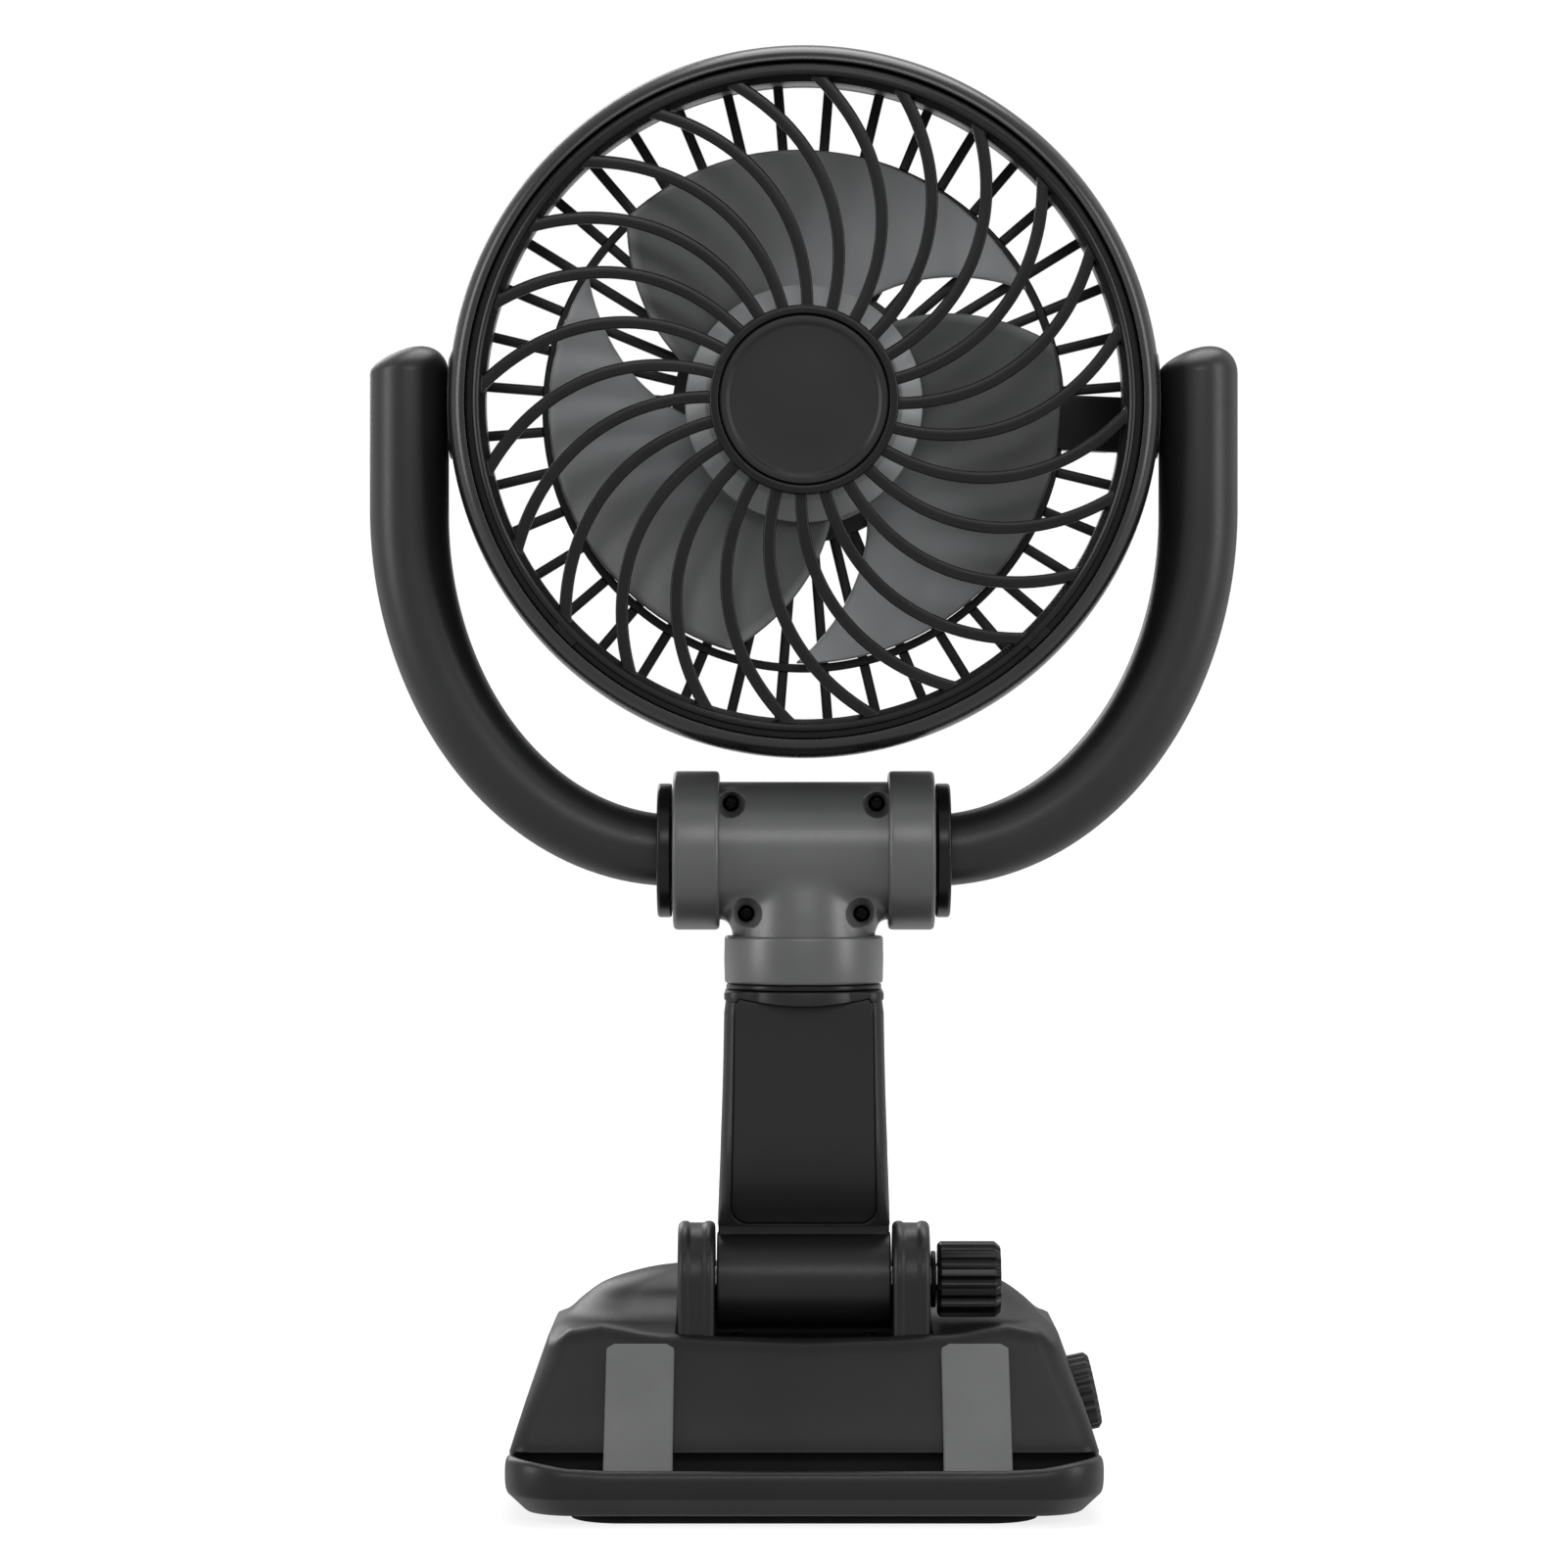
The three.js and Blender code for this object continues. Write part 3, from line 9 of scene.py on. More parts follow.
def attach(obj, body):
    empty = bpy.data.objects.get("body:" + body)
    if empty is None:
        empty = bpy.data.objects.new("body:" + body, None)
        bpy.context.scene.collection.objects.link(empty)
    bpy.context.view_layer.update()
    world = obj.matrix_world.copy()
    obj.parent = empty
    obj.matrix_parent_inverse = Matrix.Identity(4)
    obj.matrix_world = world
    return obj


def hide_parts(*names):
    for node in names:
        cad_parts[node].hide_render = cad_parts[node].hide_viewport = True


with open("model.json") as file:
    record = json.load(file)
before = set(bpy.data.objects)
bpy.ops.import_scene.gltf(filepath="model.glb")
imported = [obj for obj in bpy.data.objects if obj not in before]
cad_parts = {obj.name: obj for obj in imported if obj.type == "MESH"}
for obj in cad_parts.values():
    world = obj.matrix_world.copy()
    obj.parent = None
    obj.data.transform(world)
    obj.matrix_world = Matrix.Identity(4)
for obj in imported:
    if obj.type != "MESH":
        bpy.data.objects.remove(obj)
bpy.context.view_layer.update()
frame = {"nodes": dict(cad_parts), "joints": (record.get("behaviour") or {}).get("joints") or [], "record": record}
print("frame loaded:", len(frame["nodes"]), "solids")

mm = 0.001
nodeSlot = {entry["node"]: entry["material_slot"] for entry in frame["record"]["subparts"]}
jointPlace = {joint["name"]: Vector(joint["pos_m"]) / mm for joint in frame["joints"]}
hingeZ = jointPlace["arm_tilt"].z
armTopZ = jointPlace["tee_swivel"].z
teeZ = jointPlace["yoke_tilt"].z
fanZ = jointPlace["fan_spin"].z
hingeMiddle, teeMiddle, fanMiddle = ((0, 0, height) for height in (hingeZ, teeZ, fanZ))


# Camera, floor and light

def added(name, data):
    made = bpy.data.objects.new(name, data)
    bpy.context.scene.collection.objects.link(made)
    return made


view = {"place": (-3.9, -1017.0, 141.3), "lens": 118.3, "sensor": 36.0, "clip": (0.05, 30)}


def placeCamera():
    camera = bpy.data.cameras.new("frontCamera")
    camera.lens = view["lens"]
    camera.sensor_width = view["sensor"]
    camera.clip_start, camera.clip_end = view["clip"]
    holder = added("frontCamera", camera)
    holder.location = Vector(view["place"]) * mm
    holder.rotation_euler = (pi / 2, 0, 0)
    bpy.context.scene.camera = holder


# place, height of the point it faces, size, watts
softboxes = {
    "overheadBox": ((0.1, 0.3, 1.35), 0.2, (0.9, 1.1), 14.5),
    "leftBox": ((-1.3, -0.5, 0.5), 0.14, (0.5, 1.2), 13.0),
    "rightBox": ((1.2, -0.6, 0.5), 0.14, (0.5, 1.2), 11.5),
    "frontBox": ((0.1, -1.5, 0.85), 0.17, (0.9, 0.35), 7.0),
    "backBox": ((-0.5, 1.3, 0.7), 0.16, (0.5, 0.8), 5.0),
}


def hangSoftboxes():
    for name, (place, height, size, watts) in softboxes.items():
        light = bpy.data.lights.new(name, "AREA")
        light.shape = "RECTANGLE"
        light.size, light.size_y = size
        light.energy = watts
        holder = added(name, light)
        holder.location = place
        aim = Vector((0, 0, height)) - Vector(place)
        holder.rotation_euler = aim.to_track_quat("-Z", "Y").to_euler()


room = {"ambient": 0.2, "backdrop": 1.0, "floorGlow": (0.8, 1.0), "glowReach": (0.22, 0.7), "floorTone": 0.26,
        "floorSize": 6.0}


def addNode(tree, kind, inputs=None, **settings):
    # Inputs go by name or number, and take a value or the output of another node
    node = tree.nodes.new(kind)
    for key, value in settings.items():
        setattr(node, key, value)
    for label, source in (inputs or {}).items():
        if isinstance(source, bpy.types.NodeSocket):
            tree.links.new(source, node.inputs[label])
        else:
            node.inputs[label].default_value = source
    return node.outputs


def maths(tree, operation, *values):
    return addNode(tree, "ShaderNodeMath", dict(enumerate(values)), operation=operation)[0]


def ranged(tree, value, source, target=(0.0, 1.0), kind="LINEAR"):
    ends = {"From Min": source[0], "From Max": source[1], "To Min": target[0], "To Max": target[1]}
    return addNode(tree, "ShaderNodeMapRange", {"Value": value, **ends}, interpolation_type=kind)[0]


def objectSpot(tree):
    return addNode(tree, "ShaderNodeTexCoord")["Object"]


def grey(level, warmth=0.0):
    return (level * (1 + warmth), level, level * (1 - warmth), 1)


def cleared(block):
    block.use_nodes = True
    block.node_tree.nodes.clear()
    return block.node_tree


def seenByEye(tree):
    # 1 for camera, mirror and see-through rays, so that gloss shows the white backdrop
    rays = addNode(tree, "ShaderNodeLightPath")
    glossy = maths(tree, "MAXIMUM", rays["Is Camera Ray"], rays["Is Glossy Ray"])
    return maths(tree, "MAXIMUM", glossy, rays["Is Transmission Ray"])


def paintRoom():
    world = bpy.data.worlds.new("paleRoom")
    tree = cleared(world)
    plain, white = (addNode(tree, "ShaderNodeBackground", {"Color": grey(1), "Strength": room[level]})[0]
                    for level in ("ambient", "backdrop"))
    both = addNode(tree, "ShaderNodeMixShader", {0: seenByEye(tree), 1: plain, 2: white})[0]
    addNode(tree, "ShaderNodeOutputWorld", {0: both})
    bpy.context.scene.world = world


def layFloor():
    half = room["floorSize"] / 2
    mesh = bpy.data.meshes.new("paleFloor")
    corners = [(-half, -half, 0), (half, -half, 0), (half, half, 0), (-half, half, 0)]
    mesh.from_pydata(corners, [], [(0, 1, 2, 3)])
    material = bpy.data.materials.new("palePaper")
    tree = cleared(material)
    paper = addNode(tree, "ShaderNodeBsdfDiffuse", {"Color": grey(room["floorTone"])})[0]
    # the sheet is white far away and leaves room for the soft shadow near the object
    away = addNode(tree, "ShaderNodeVectorMath", {0: objectSpot(tree)}, operation="LENGTH")["Value"]
    level = ranged(tree, away, room["glowReach"], room["floorGlow"], "SMOOTHSTEP")
    shine = maths(tree, "MULTIPLY", seenByEye(tree), level)
    glow = addNode(tree, "ShaderNodeEmission", {"Strength": shine})[0]
    both = addNode(tree, "ShaderNodeAddShader", {0: paper, 1: glow})[0]
    addNode(tree, "ShaderNodeOutputMaterial", {0: both})
    mesh.materials.append(material)
    added("paleFloor", mesh)


placeCamera()
hangSoftboxes()
paintRoom()
layFloor()
bpy.context.scene.view_settings.view_transform = "Standard"
print("camera, light and floor are in place")


# Shared shader groups

def newGroup(kind, name, inputs, outputs):
    # Inputs and outputs are the labels of each sort of socket
    group = bpy.data.node_groups.new(name, kind)
    for way, sockets in (("INPUT", inputs), ("OUTPUT", outputs)):
        for sort, labels in sockets.items():
            for label in labels:
                group.interface.new_socket(name=label, in_out=way, socket_type="NodeSocket" + sort)
    return group, addNode(group, "NodeGroupInput")


def noise(tree, scale, detail=2.0, roughness=0.5):
    sockets = {"Vector": objectSpot(tree), "Scale": scale, "Detail": detail, "Roughness": roughness}
    return addNode(tree, "ShaderNodeTexNoise", sockets)["Fac"]


def spread(tree, value, low, high):
    # Stretches the middle of a noise, where most of its values lie
    return ranged(tree, value, (0.3, 0.7), (low, high))


def mixColours(tree, share, first, second):
    sockets = {"Factor": share, "A": first, "B": second}
    return addNode(tree, "ShaderNodeMix", sockets, data_type="RGBA")["Result"]


def buildMouldedSkin():
    # Spark-eroded mould texture: fine grain, slow mottling and slightly uneven gloss
    group, given = newGroup("ShaderNodeTree", "mouldedSkin", {
        "Color": ["Tone", "Pale Tone"],
        "Float": ["Grain Scale", "Mottle Scale", "Low Roughness", "High Roughness", "Wear"],
    }, {"Color": ["Color"], "Float": ["Roughness", "Height"]})
    grain = noise(group, given["Grain Scale"], 3.0, 0.6)
    mottle = spread(group, noise(group, given["Mottle Scale"], 4.0, 0.55), 0.0, 1.0)
    worn = maths(group, "MAXIMUM", mottle, given["Wear"])
    uneven = spread(group, grain, given["Low Roughness"], given["High Roughness"])
    polish = maths(group, "MULTIPLY", given["Wear"], 0.12)
    addNode(group, "NodeGroupOutput", {
        "Color": mixColours(group, worn, given["Tone"], given["Pale Tone"]),
        "Roughness": maths(group, "SUBTRACT", uneven, polish), "Height": grain})
    return group


def buildSoftEdges():
    # Rounds every moulded edge in shading and masks the rub marks along it
    group, given = newGroup("ShaderNodeTree", "softEdges", {"Float": ["Reach", "Amount"]},
                            {"Vector": ["Normal"], "Float": ["Wear"]})
    bevel = addNode(group, "ShaderNodeBevel", {"Radius": given["Reach"]}, samples=4)[0]
    plain = addNode(group, "ShaderNodeNewGeometry")["Normal"]
    turn = addNode(group, "ShaderNodeVectorMath", {0: bevel, 1: plain}, operation="DOT_PRODUCT")["Value"]
    patches = spread(group, noise(group, 240.0, 3.0, 0.6), 0.3, 1.0)
    rubbed = maths(group, "MULTIPLY", ranged(group, turn, (0.995, 0.9)), patches)
    addNode(group, "NodeGroupOutput", {
        "Wear": maths(group, "MULTIPLY", rubbed, given["Amount"]), "Normal": bevel})
    return group


def buildFineLines():
    # Fine parallel lines along one axis, for laminations, wire and turned metal
    inputs = {"Float": ["Lines", "Wander"], "Vector": ["Along"]}
    group, given = newGroup("ShaderNodeTree", "fineLines", inputs, {"Float": ["Height", "Mask"]})
    do = partial(maths, group)
    sockets = {0: objectSpot(group), 1: given["Along"]}
    along = addNode(group, "ShaderNodeVectorMath", sockets, operation="DOT_PRODUCT")["Value"]
    drift = do("MULTIPLY", noise(group, 90.0), given["Wander"])
    phase = do("ADD", do("MULTIPLY", along, given["Lines"]), drift)
    wave = do("ADD", do("MULTIPLY", do("SINE", phase), 0.5), 0.5)
    addNode(group, "NodeGroupOutput", {"Height": wave, "Mask": do("POWER", wave, 3.0)})
    return group


mouldedSkin = buildMouldedSkin()
softEdges = buildSoftEdges()
fineLines = buildFineLines()


# Finishes

def greys(low, high, warmth=0.0):
    return grey(low, warmth), grey(high, warmth)


# tone and worn tone, grain and mottle scale, roughness, bump depth, reach of soft edges, wear, gloss
mouldingColumns = ("tones", "grain", "mottle", "rough", "depth", "reach", "wear", "specular")
mouldings = {
    "blackPlastic": (greys(0.007, 0.01, -0.02), 2400.0, 45.0, (0.3, 0.42), 2e-5, 3.5e-4, 0.35, 0.21),
    # a darker, less glossy copy of the black plastic: painted shade that holds down the lamp-lit upward faces of
    # the console
    "consolePlasticPaintedDarker": (greys(0.006, 0.009, -0.02), 2400.0, 45.0, (0.32, 0.44), 2e-5, 3.5e-4, 0.35, 0.17),
    # a lighter copy of the black plastic for the yoke tubes: painted light that brightens their shaded sides
    "satinTubePaintedLighter": (greys(0.01, 0.014, -0.02), 2400.0, 45.0, (0.32, 0.44), 2e-5, 3.5e-4, 0.3, 0.26),
    "rimPlastic": (greys(0.004, 0.007), 2000.0, 60.0, (0.25, 0.3), 3e-6, 2e-4, 0.3, 0.38),
    "darkGlossPlastic": (greys(0.005, 0.009), 1800.0, 60.0, (0.22, 0.28), 3e-6, 2e-4, 0.2, 0.15),
    "greyPlastic": (greys(0.064, 0.079, -0.015), 2600.0, 50.0, (0.3, 0.4), 2e-5, 4.5e-4, 0.4, 0.5),
    "bladePlastic": (greys(0.078, 0.093, -0.02), 1500.0, 35.0, (0.3, 0.42), 1e-5, 3e-4, 0.5, 0.3),
    "stripRubber": (greys(0.112, 0.127, -0.01), 3200.0, 80.0, (0.68, 0.82), 4e-5, 3e-4, 0.3, 0.2),
    "padRubber": (greys(0.009, 0.014), 3000.0, 90.0, (0.75, 0.9), 5e-5, 3e-4, 0.3, 0.15),
    "boardLacquer": (((0.012, 0.09, 0.04, 1), (0.02, 0.13, 0.06, 1)), 700.0, 420.0, (0.3, 0.5), 2e-5, 2e-4,
                     0.2, 0.5),
    "ferrite": (greys(0.035, 0.055), 2400.0, 240.0, (0.5, 0.7), 3e-5, 2e-4, 0.5, 0.5),
}
# tone and rubbed tone, lines, the axis across them, roughness, bump depth
metalColumns = ("tones", "lines", "along", "rough", "depth")
metals = {
    "steel": (greys(0.42, 0.56), 5200.0, (0.3, 1.0, 0.2), (0.26, 0.4), 2e-5),
    "blackedSteel": (greys(0.003, 0.008), 4200.0, (0.2, 0.3, 1.0), (0.34, 0.5), 2e-5),
    "copperWire": (((0.45, 0.16, 0.06, 1), (0.72, 0.3, 0.13, 1)), 14000.0, (0.0, 1.0, 0.0), (0.25, 0.4),
                   1.2e-4),
    "bronze": (((0.36, 0.2, 0.07, 1), (0.5, 0.31, 0.12, 1)), 6000.0, (1.0, 0.2, 0.4), (0.3, 0.46), 2e-5),
}
anyMetal = {"strength": 0.4, "grain": 3000.0, "mottle": 160.0, "reach": 2e-4, "wear": 0.6, "wander": 1.4,
            "lineWear": 0.35}
# each mark is a depth along Y and the share of the pale colour there; the ramp is painted shade and highlight by
# depth
bladePaintedShade = {"colour": grey(0.6, -0.02),
             "marks": ((-9.0, 0.5), (-6.6, 0.42), (-5.8, 0.0), (1.0, 0.12), (11.0, 1.0))}


def paintedDepthShade(tree, colour):
    # Painted shade and highlight by depth along Y: the blades are painted darker near their front edge and paler
    # towards their back edge, and the nose of the hub is painted pale
    marks = bladePaintedShade["marks"]
    low, high = marks[0][0] * mm, marks[-1][0] * mm
    axes = addNode(tree, "ShaderNodeSeparateXYZ", {0: objectSpot(tree)})
    steps = addNode(tree, "ShaderNodeValToRGB", {"Fac": ranged(tree, axes["Y"], (low, high))})
    elements = steps["Color"].node.color_ramp.elements
    for spot, (along, share) in enumerate(marks):
        place = (along * mm - low) / (high - low)
        mark = elements[spot] if spot < 2 else elements.new(place)
        mark.position = place
        mark.color = grey(share)
    return mixColours(tree, steps["Color"], colour, bladePaintedShade["colour"])


def facingGloss(tree, level):
    # Gloss dies away where the surface turns from the eye, so that outlines stay dark
    facing = addNode(tree, "ShaderNodeLayerWeight", {"Blend": 0.5})["Facing"]
    return ranged(tree, facing, (0.5, 0.9), (level, level * 0.1), "SMOOTHSTEP")


def placeGroup(tree, group, values):
    return addNode(tree, "ShaderNodeGroup", values, node_tree=group)


def mixedFinish(name, look):
    # Metal has fine lines that are rubbed bright, a moulding has its grain
    material = bpy.data.materials.new(name)
    tree = cleared(material)
    edges = placeGroup(tree, softEdges, {"Reach": look["reach"], "Amount": look["wear"]})
    worn, isMetal = edges["Wear"], "lines" in look
    if isMetal:
        lines = placeGroup(tree, fineLines, {"Lines": look["lines"], "Wander": look["wander"],
                                             "Along": look["along"]})
        worn = maths(tree, "MAXIMUM", worn, maths(tree, "MULTIPLY", lines["Mask"], look["lineWear"]))
    skin = placeGroup(tree, mouldedSkin, {
        "Tone": look["tones"][0], "Pale Tone": look["tones"][1],
        "Grain Scale": look["grain"], "Mottle Scale": look["mottle"],
        "Low Roughness": look["rough"][0], "High Roughness": look["rough"][1], "Wear": worn})
    bump = addNode(tree, "ShaderNodeBump", {
        "Strength": look["strength"], "Distance": look["depth"],
        "Height": (lines if isMetal else skin)["Height"], "Normal": edges["Normal"]})[0]
    # the blades get painted shade and highlight by depth
    colour = paintedDepthShade(tree, skin["Color"]) if name == "bladePlastic" else skin["Color"]
    sockets = {"Base Color": colour, "Roughness": skin["Roughness"], "Normal": bump}
    if isMetal:
        sockets["Metallic"] = 1.0
    else:
        sockets["Specular IOR Level"] = facingGloss(tree, look["specular"])
    shader = addNode(tree, "ShaderNodeBsdfPrincipled", sockets)[0]
    addNode(tree, "ShaderNodeOutputMaterial", {0: shader})
    return material


looks = {name: {"strength": 0.5, **dict(zip(mouldingColumns, row))} for name, row in mouldings.items()}
looks.update({name: {**anyMetal, **dict(zip(metalColumns, row))} for name, row in metals.items()})
finishes = {name: mixedFinish(name, look) for name, look in looks.items()}
print("finishes mixed:", len(finishes))


# Mesh helpers, all in millimetres until the mesh is made

def shade(mesh, angle=32):
    mesh.shade_smooth()
    mesh.set_sharp_from_angle(angle=radians(angle))


def mix(low, high, share):
    return low + (high - low) * share


def portion(value, low, high):
    # How far a value has come from low to high, held between 0 and 1
    return max(0.0, min(1.0, (value - low) / (high - low)))


def eased(share):
    return share * share * (3 - 2 * share)


def edited(mesh, change, angle=32):
    work = bmesh.new()
    work.from_mesh(mesh)
    change(work)
    work.to_mesh(mesh)
    work.free()
    shade(mesh, angle)
    return mesh


def meshFrom(name, points, faces, angle=32):
    mesh = bpy.data.meshes.new(name)
    mesh.from_pydata([Vector(point) * mm for point in points], [], faces)

    def clean(work):
        bmesh.ops.remove_doubles(work, verts=work.verts, dist=1e-6)
        bmesh.ops.dissolve_degenerate(work, edges=work.edges, dist=1e-7)
        bmesh.ops.recalc_face_normals(work, faces=work.faces)

    return added(name, edited(mesh, clean, angle))


def bevelled(piece, picked, reach, segments, angle=32):
    # Rounds the edges that picked(edge) chooses
    def change(work):
        bmesh.ops.bevel(work, geom=[edge for edge in work.edges if picked(edge)], offset=reach * mm,
                        segments=segments, profile=0.5, affect="EDGES", clamp_overlap=True)

    edited(piece.data, change, angle)
    return piece


def softenRims(piece, reach, segments, sharper, angle=32):
    # Rounds the edges that turn by more than the given angle
    def sharp(edge):
        return edge.is_manifold and edge.calc_face_angle() > radians(sharper)

    return bevelled(piece, sharp, reach, segments, angle)


cornerLimit = {"flat": radians(176), "folded": radians(3), "reach": 0.46}


def softened(outline, radius=0.3, steps=4):
    # Rounds the corners of a closed outline; a third value in a point is its own radius
    result = []
    for index, point in enumerate(outline):
        here = Vector(point[:2])
        before = Vector(outline[index - 1][:2]) - here
        after = Vector(outline[(index + 1) % len(outline)][:2]) - here
        size = point[2] if len(point) > 2 else radius
        plain = size <= 0 or abs(here.x) < 1e-9
        if not plain:
            angle = acos(max(-1, min(1, before.normalized().dot(after.normalized()))))
            plain = angle > cornerLimit["flat"] or angle < cornerLimit["folded"]
        if plain:
            result.append(tuple(here))
            continue
        reach = min(size / tan(angle / 2), *(side.length * cornerLimit["reach"] for side in (before, after)))
        start = here + before.normalized() * reach
        end = here + after.normalized() * reach
        for step in range(steps + 1):
            share = step / steps
            result.append(tuple(start * (1 - share) ** 2 + here * 2 * share * (1 - share) + end * share ** 2))
    return result


def ellipseCorner(across, along, wide, deep, steps):
    # A quarter ellipse from the front face round to the side
    return [(across + wide * sin(pi / 2 * step / steps), along - deep * cos(pi / 2 * step / steps), 0)
            for step in range(steps + 1)]


# two places across an axis and one along it
alongAxis = {
    "X": lambda u, v, w: (w, u, v),
    "Y": lambda u, v, w: (u, w, v),
    "Z": lambda u, v, w: (u, v, w),
}


def turned(name, outline, axis="Y", sides=128, centre=(0, 0, 0), angle=32, wave=None, round=0.3):
    # wave(radius, angle) may change the radius round the turn; round 0 keeps the corners sharp
    if round:
        outline = softened(outline, round)
    points, faces = [], []
    count = len(outline)
    for side in range(sides):
        turn = 2 * pi * side / sides
        u, v = (sin(turn), cos(turn)) if axis == "Y" else (cos(turn), sin(turn))
        for radius, along in outline:
            real = wave(radius, turn) if wave else radius
            points.append(Vector(alongAxis[axis](real * u, real * v, along)) + Vector(centre))
        here, there = side * count, (side + 1) % sides * count
        for row in range(count):
            following = (row + 1) % count
            if outline[row][0] > 1e-9 or outline[following][0] > 1e-9:
                faces.append((here + row, there + row, there + following, here + following))
    return meshFrom(name, points, faces, angle)


def rod(name, radius, low, high, axis, sides, centre=(0, 0, 0)):
    outline = [(0, low), (radius, low), (radius, high), (0, high)]
    return turned(name, outline, axis, sides, centre, round=0)


def loft(name, rings, angle=32):
    points = [point for ring in rings for point in ring]
    count = len(rings[0])
    last = len(points) - count
    faces = []
    for level in range(0, last, count):
        for here in range(count):
            a, b = level + here, level + (here + 1) % count
            faces.append((a, b, b + count, a + count))
    for start, ring in ((0, rings[0]), (last, rings[-1])):
        points.append(sum((Vector(point) for point in ring), Vector()) / count)
        faces += [(start + here, start + (here + 1) % count, len(points) - 1) for here in range(count)]
    return meshFrom(name, points, faces, angle)


def pushed(name, outline, span, axis="Y", round=0.0, segments=3):
    # A flat outline pushed along an axis, with both rims rounded
    count = len(outline)
    points = [alongAxis[axis](u, v, w) for w in span for u, v in outline]
    faces = [tuple(range(count)), tuple(range(count, 2 * count))]
    faces += [(here, (here + 1) % count, (here + 1) % count + count, here + count) for here in range(count)]
    made = meshFrom(name, points, faces)

    def onRim(edge):
        return any(len(face.verts) == count for face in edge.link_faces)

    return bevelled(made, onRim, round, segments) if round else made


def boxOutline(low, high, round=0.0, steps=6):
    (left, bottom), (right, top) = low, high
    return softened([(left, bottom), (right, bottom), (right, top), (left, top)], round, steps)


def block(name, low, high, round=0.3, corner=0.3, axis="Y"):
    spans = list(zip(low, high))
    order = {"X": (1, 2, 0), "Y": (0, 2, 1), "Z": (0, 1, 2)}[axis]
    u, v, w = (spans[index] for index in order)
    return pushed(name, boxOutline((u[0], v[0]), (u[1], v[1]), corner), w, axis, round)


def slab(name, rows, columns, spot, angle=32):
    # Two grids of points joined round their rim; spot(side, along, across) places each point
    points = [spot(side, row / (rows - 1), column / (columns - 1))
              for side in (0, 1) for row in range(rows) for column in range(columns)]
    size = rows * columns
    faces = []
    for row in range(rows - 1):
        for column in range(columns - 1):
            a = row * columns + column
            faces.append((a, a + 1, a + columns + 1, a + columns))
            faces.append((size + a, size + a + columns, size + a + columns + 1, size + a + 1))
    rim = list(range(columns - 1)) + [row * columns + columns - 1 for row in range(rows - 1)]
    rim += [(rows - 1) * columns + column for column in range(columns - 1, 0, -1)]
    rim += [row * columns for row in range(rows - 1, 0, -1)]
    faces += [(here, nearby, nearby + size, here + size) for here, nearby in zip(rim, rim[1:] + rim[:1])]
    return meshFrom(name, points, faces, angle)


def cornerTrim(corner, left):
    # How far a rounded corner draws the side in, this far from the end
    return 0.0 if left >= corner else corner - sqrt(max(0.0, corner ** 2 - (corner - left) ** 2))


def bake(piece, angle=32):
    baked = piece.evaluated_get(bpy.context.evaluated_depsgraph_get())
    mesh = bpy.data.meshes.new_from_object(baked)
    piece.modifiers.clear()
    piece.data = mesh
    shade(mesh, angle)
    return piece


def discard(pieces):
    for piece in pieces:
        bpy.data.objects.remove(piece)


def carve(piece, add=(), remove=(), keep=(), angle=32):
    for tools, operation in ((add, "UNION"), (remove, "DIFFERENCE"), (keep, "INTERSECT")):
        for tool in tools:
            change = piece.modifiers.new(operation.lower(), "BOOLEAN")
            change.object = tool
            change.operation = operation
            change.solver = "EXACT"
    bake(piece, angle)
    discard([*add, *remove, *keep])
    return piece


def merged(name, pieces, angle=32):
    def gather(work):
        for piece in pieces:
            work.from_mesh(piece.data)

    whole = added(name, edited(bpy.data.meshes.new(name), gather, angle))
    discard(pieces)
    return whole


def moved(piece, matrix):
    piece.data.transform(matrix)
    if matrix.determinant() < 0:
        piece.data.flip_normals()
    return piece


def shifted(piece, x=0.0, y=0.0, z=0.0):
    return moved(piece, Matrix.Translation(Vector((x, y, z)) * mm))


def copyOf(piece, name):
    return added(name, piece.data.copy())


def mirrored(piece, name):
    return moved(copyOf(piece, name), Matrix.Diagonal((-1, 1, 1, 1)))


def settle(piece, finish, body, *nodes):
    # Gives the piece its finish and its body, and hides the solids that it stands for
    piece.data.materials.clear()
    piece.data.materials.append(finishes[finish])
    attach(piece, body)
    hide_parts(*nodes)


def settlePair(name, outline, sides, finish, body, node):
    # Rings on both sides of the tee; the left one is the mirror image of the right one
    right = turned(name + "Right", outline, "X", sides, teeMiddle)
    left = mirrored(right, name + "Left")
    settle(right, finish, body, node + "_right")
    settle(left, finish, body, node + "_left")


def settleTurned(name, outline, axis, sides, centre, finish, body, node):
    settle(turned(name, outline, axis, sides, centre), finish, body, node)


def smoothTable(rows, count):
    # Smooth values between the rows of a table, by Catmull-Rom
    result = []
    last = len(rows) - 1
    for step in range(count + 1):
        place = last * step / count
        index = min(int(place), last - 1)
        share = place - index
        around = [rows[max(0, min(last, index + offset))] for offset in (-1, 0, 1, 2)]
        result.append([0.5 * (
            2 * here + (after - before) * share
            + (2 * before - 5 * here + 4 * after - beyond) * share ** 2
            + (3 * here - before - 3 * after + beyond) * share ** 3
        ) for before, here, after, beyond in zip(*around)])
    return result


def between(table, value):
    # Eased values between the rows of a table of two columns
    for (low, first), (high, last) in zip(table, table[1:]):
        if value <= high:
            return mix(first, last, eased(portion(value, low, high)))
    return table[-1][1]


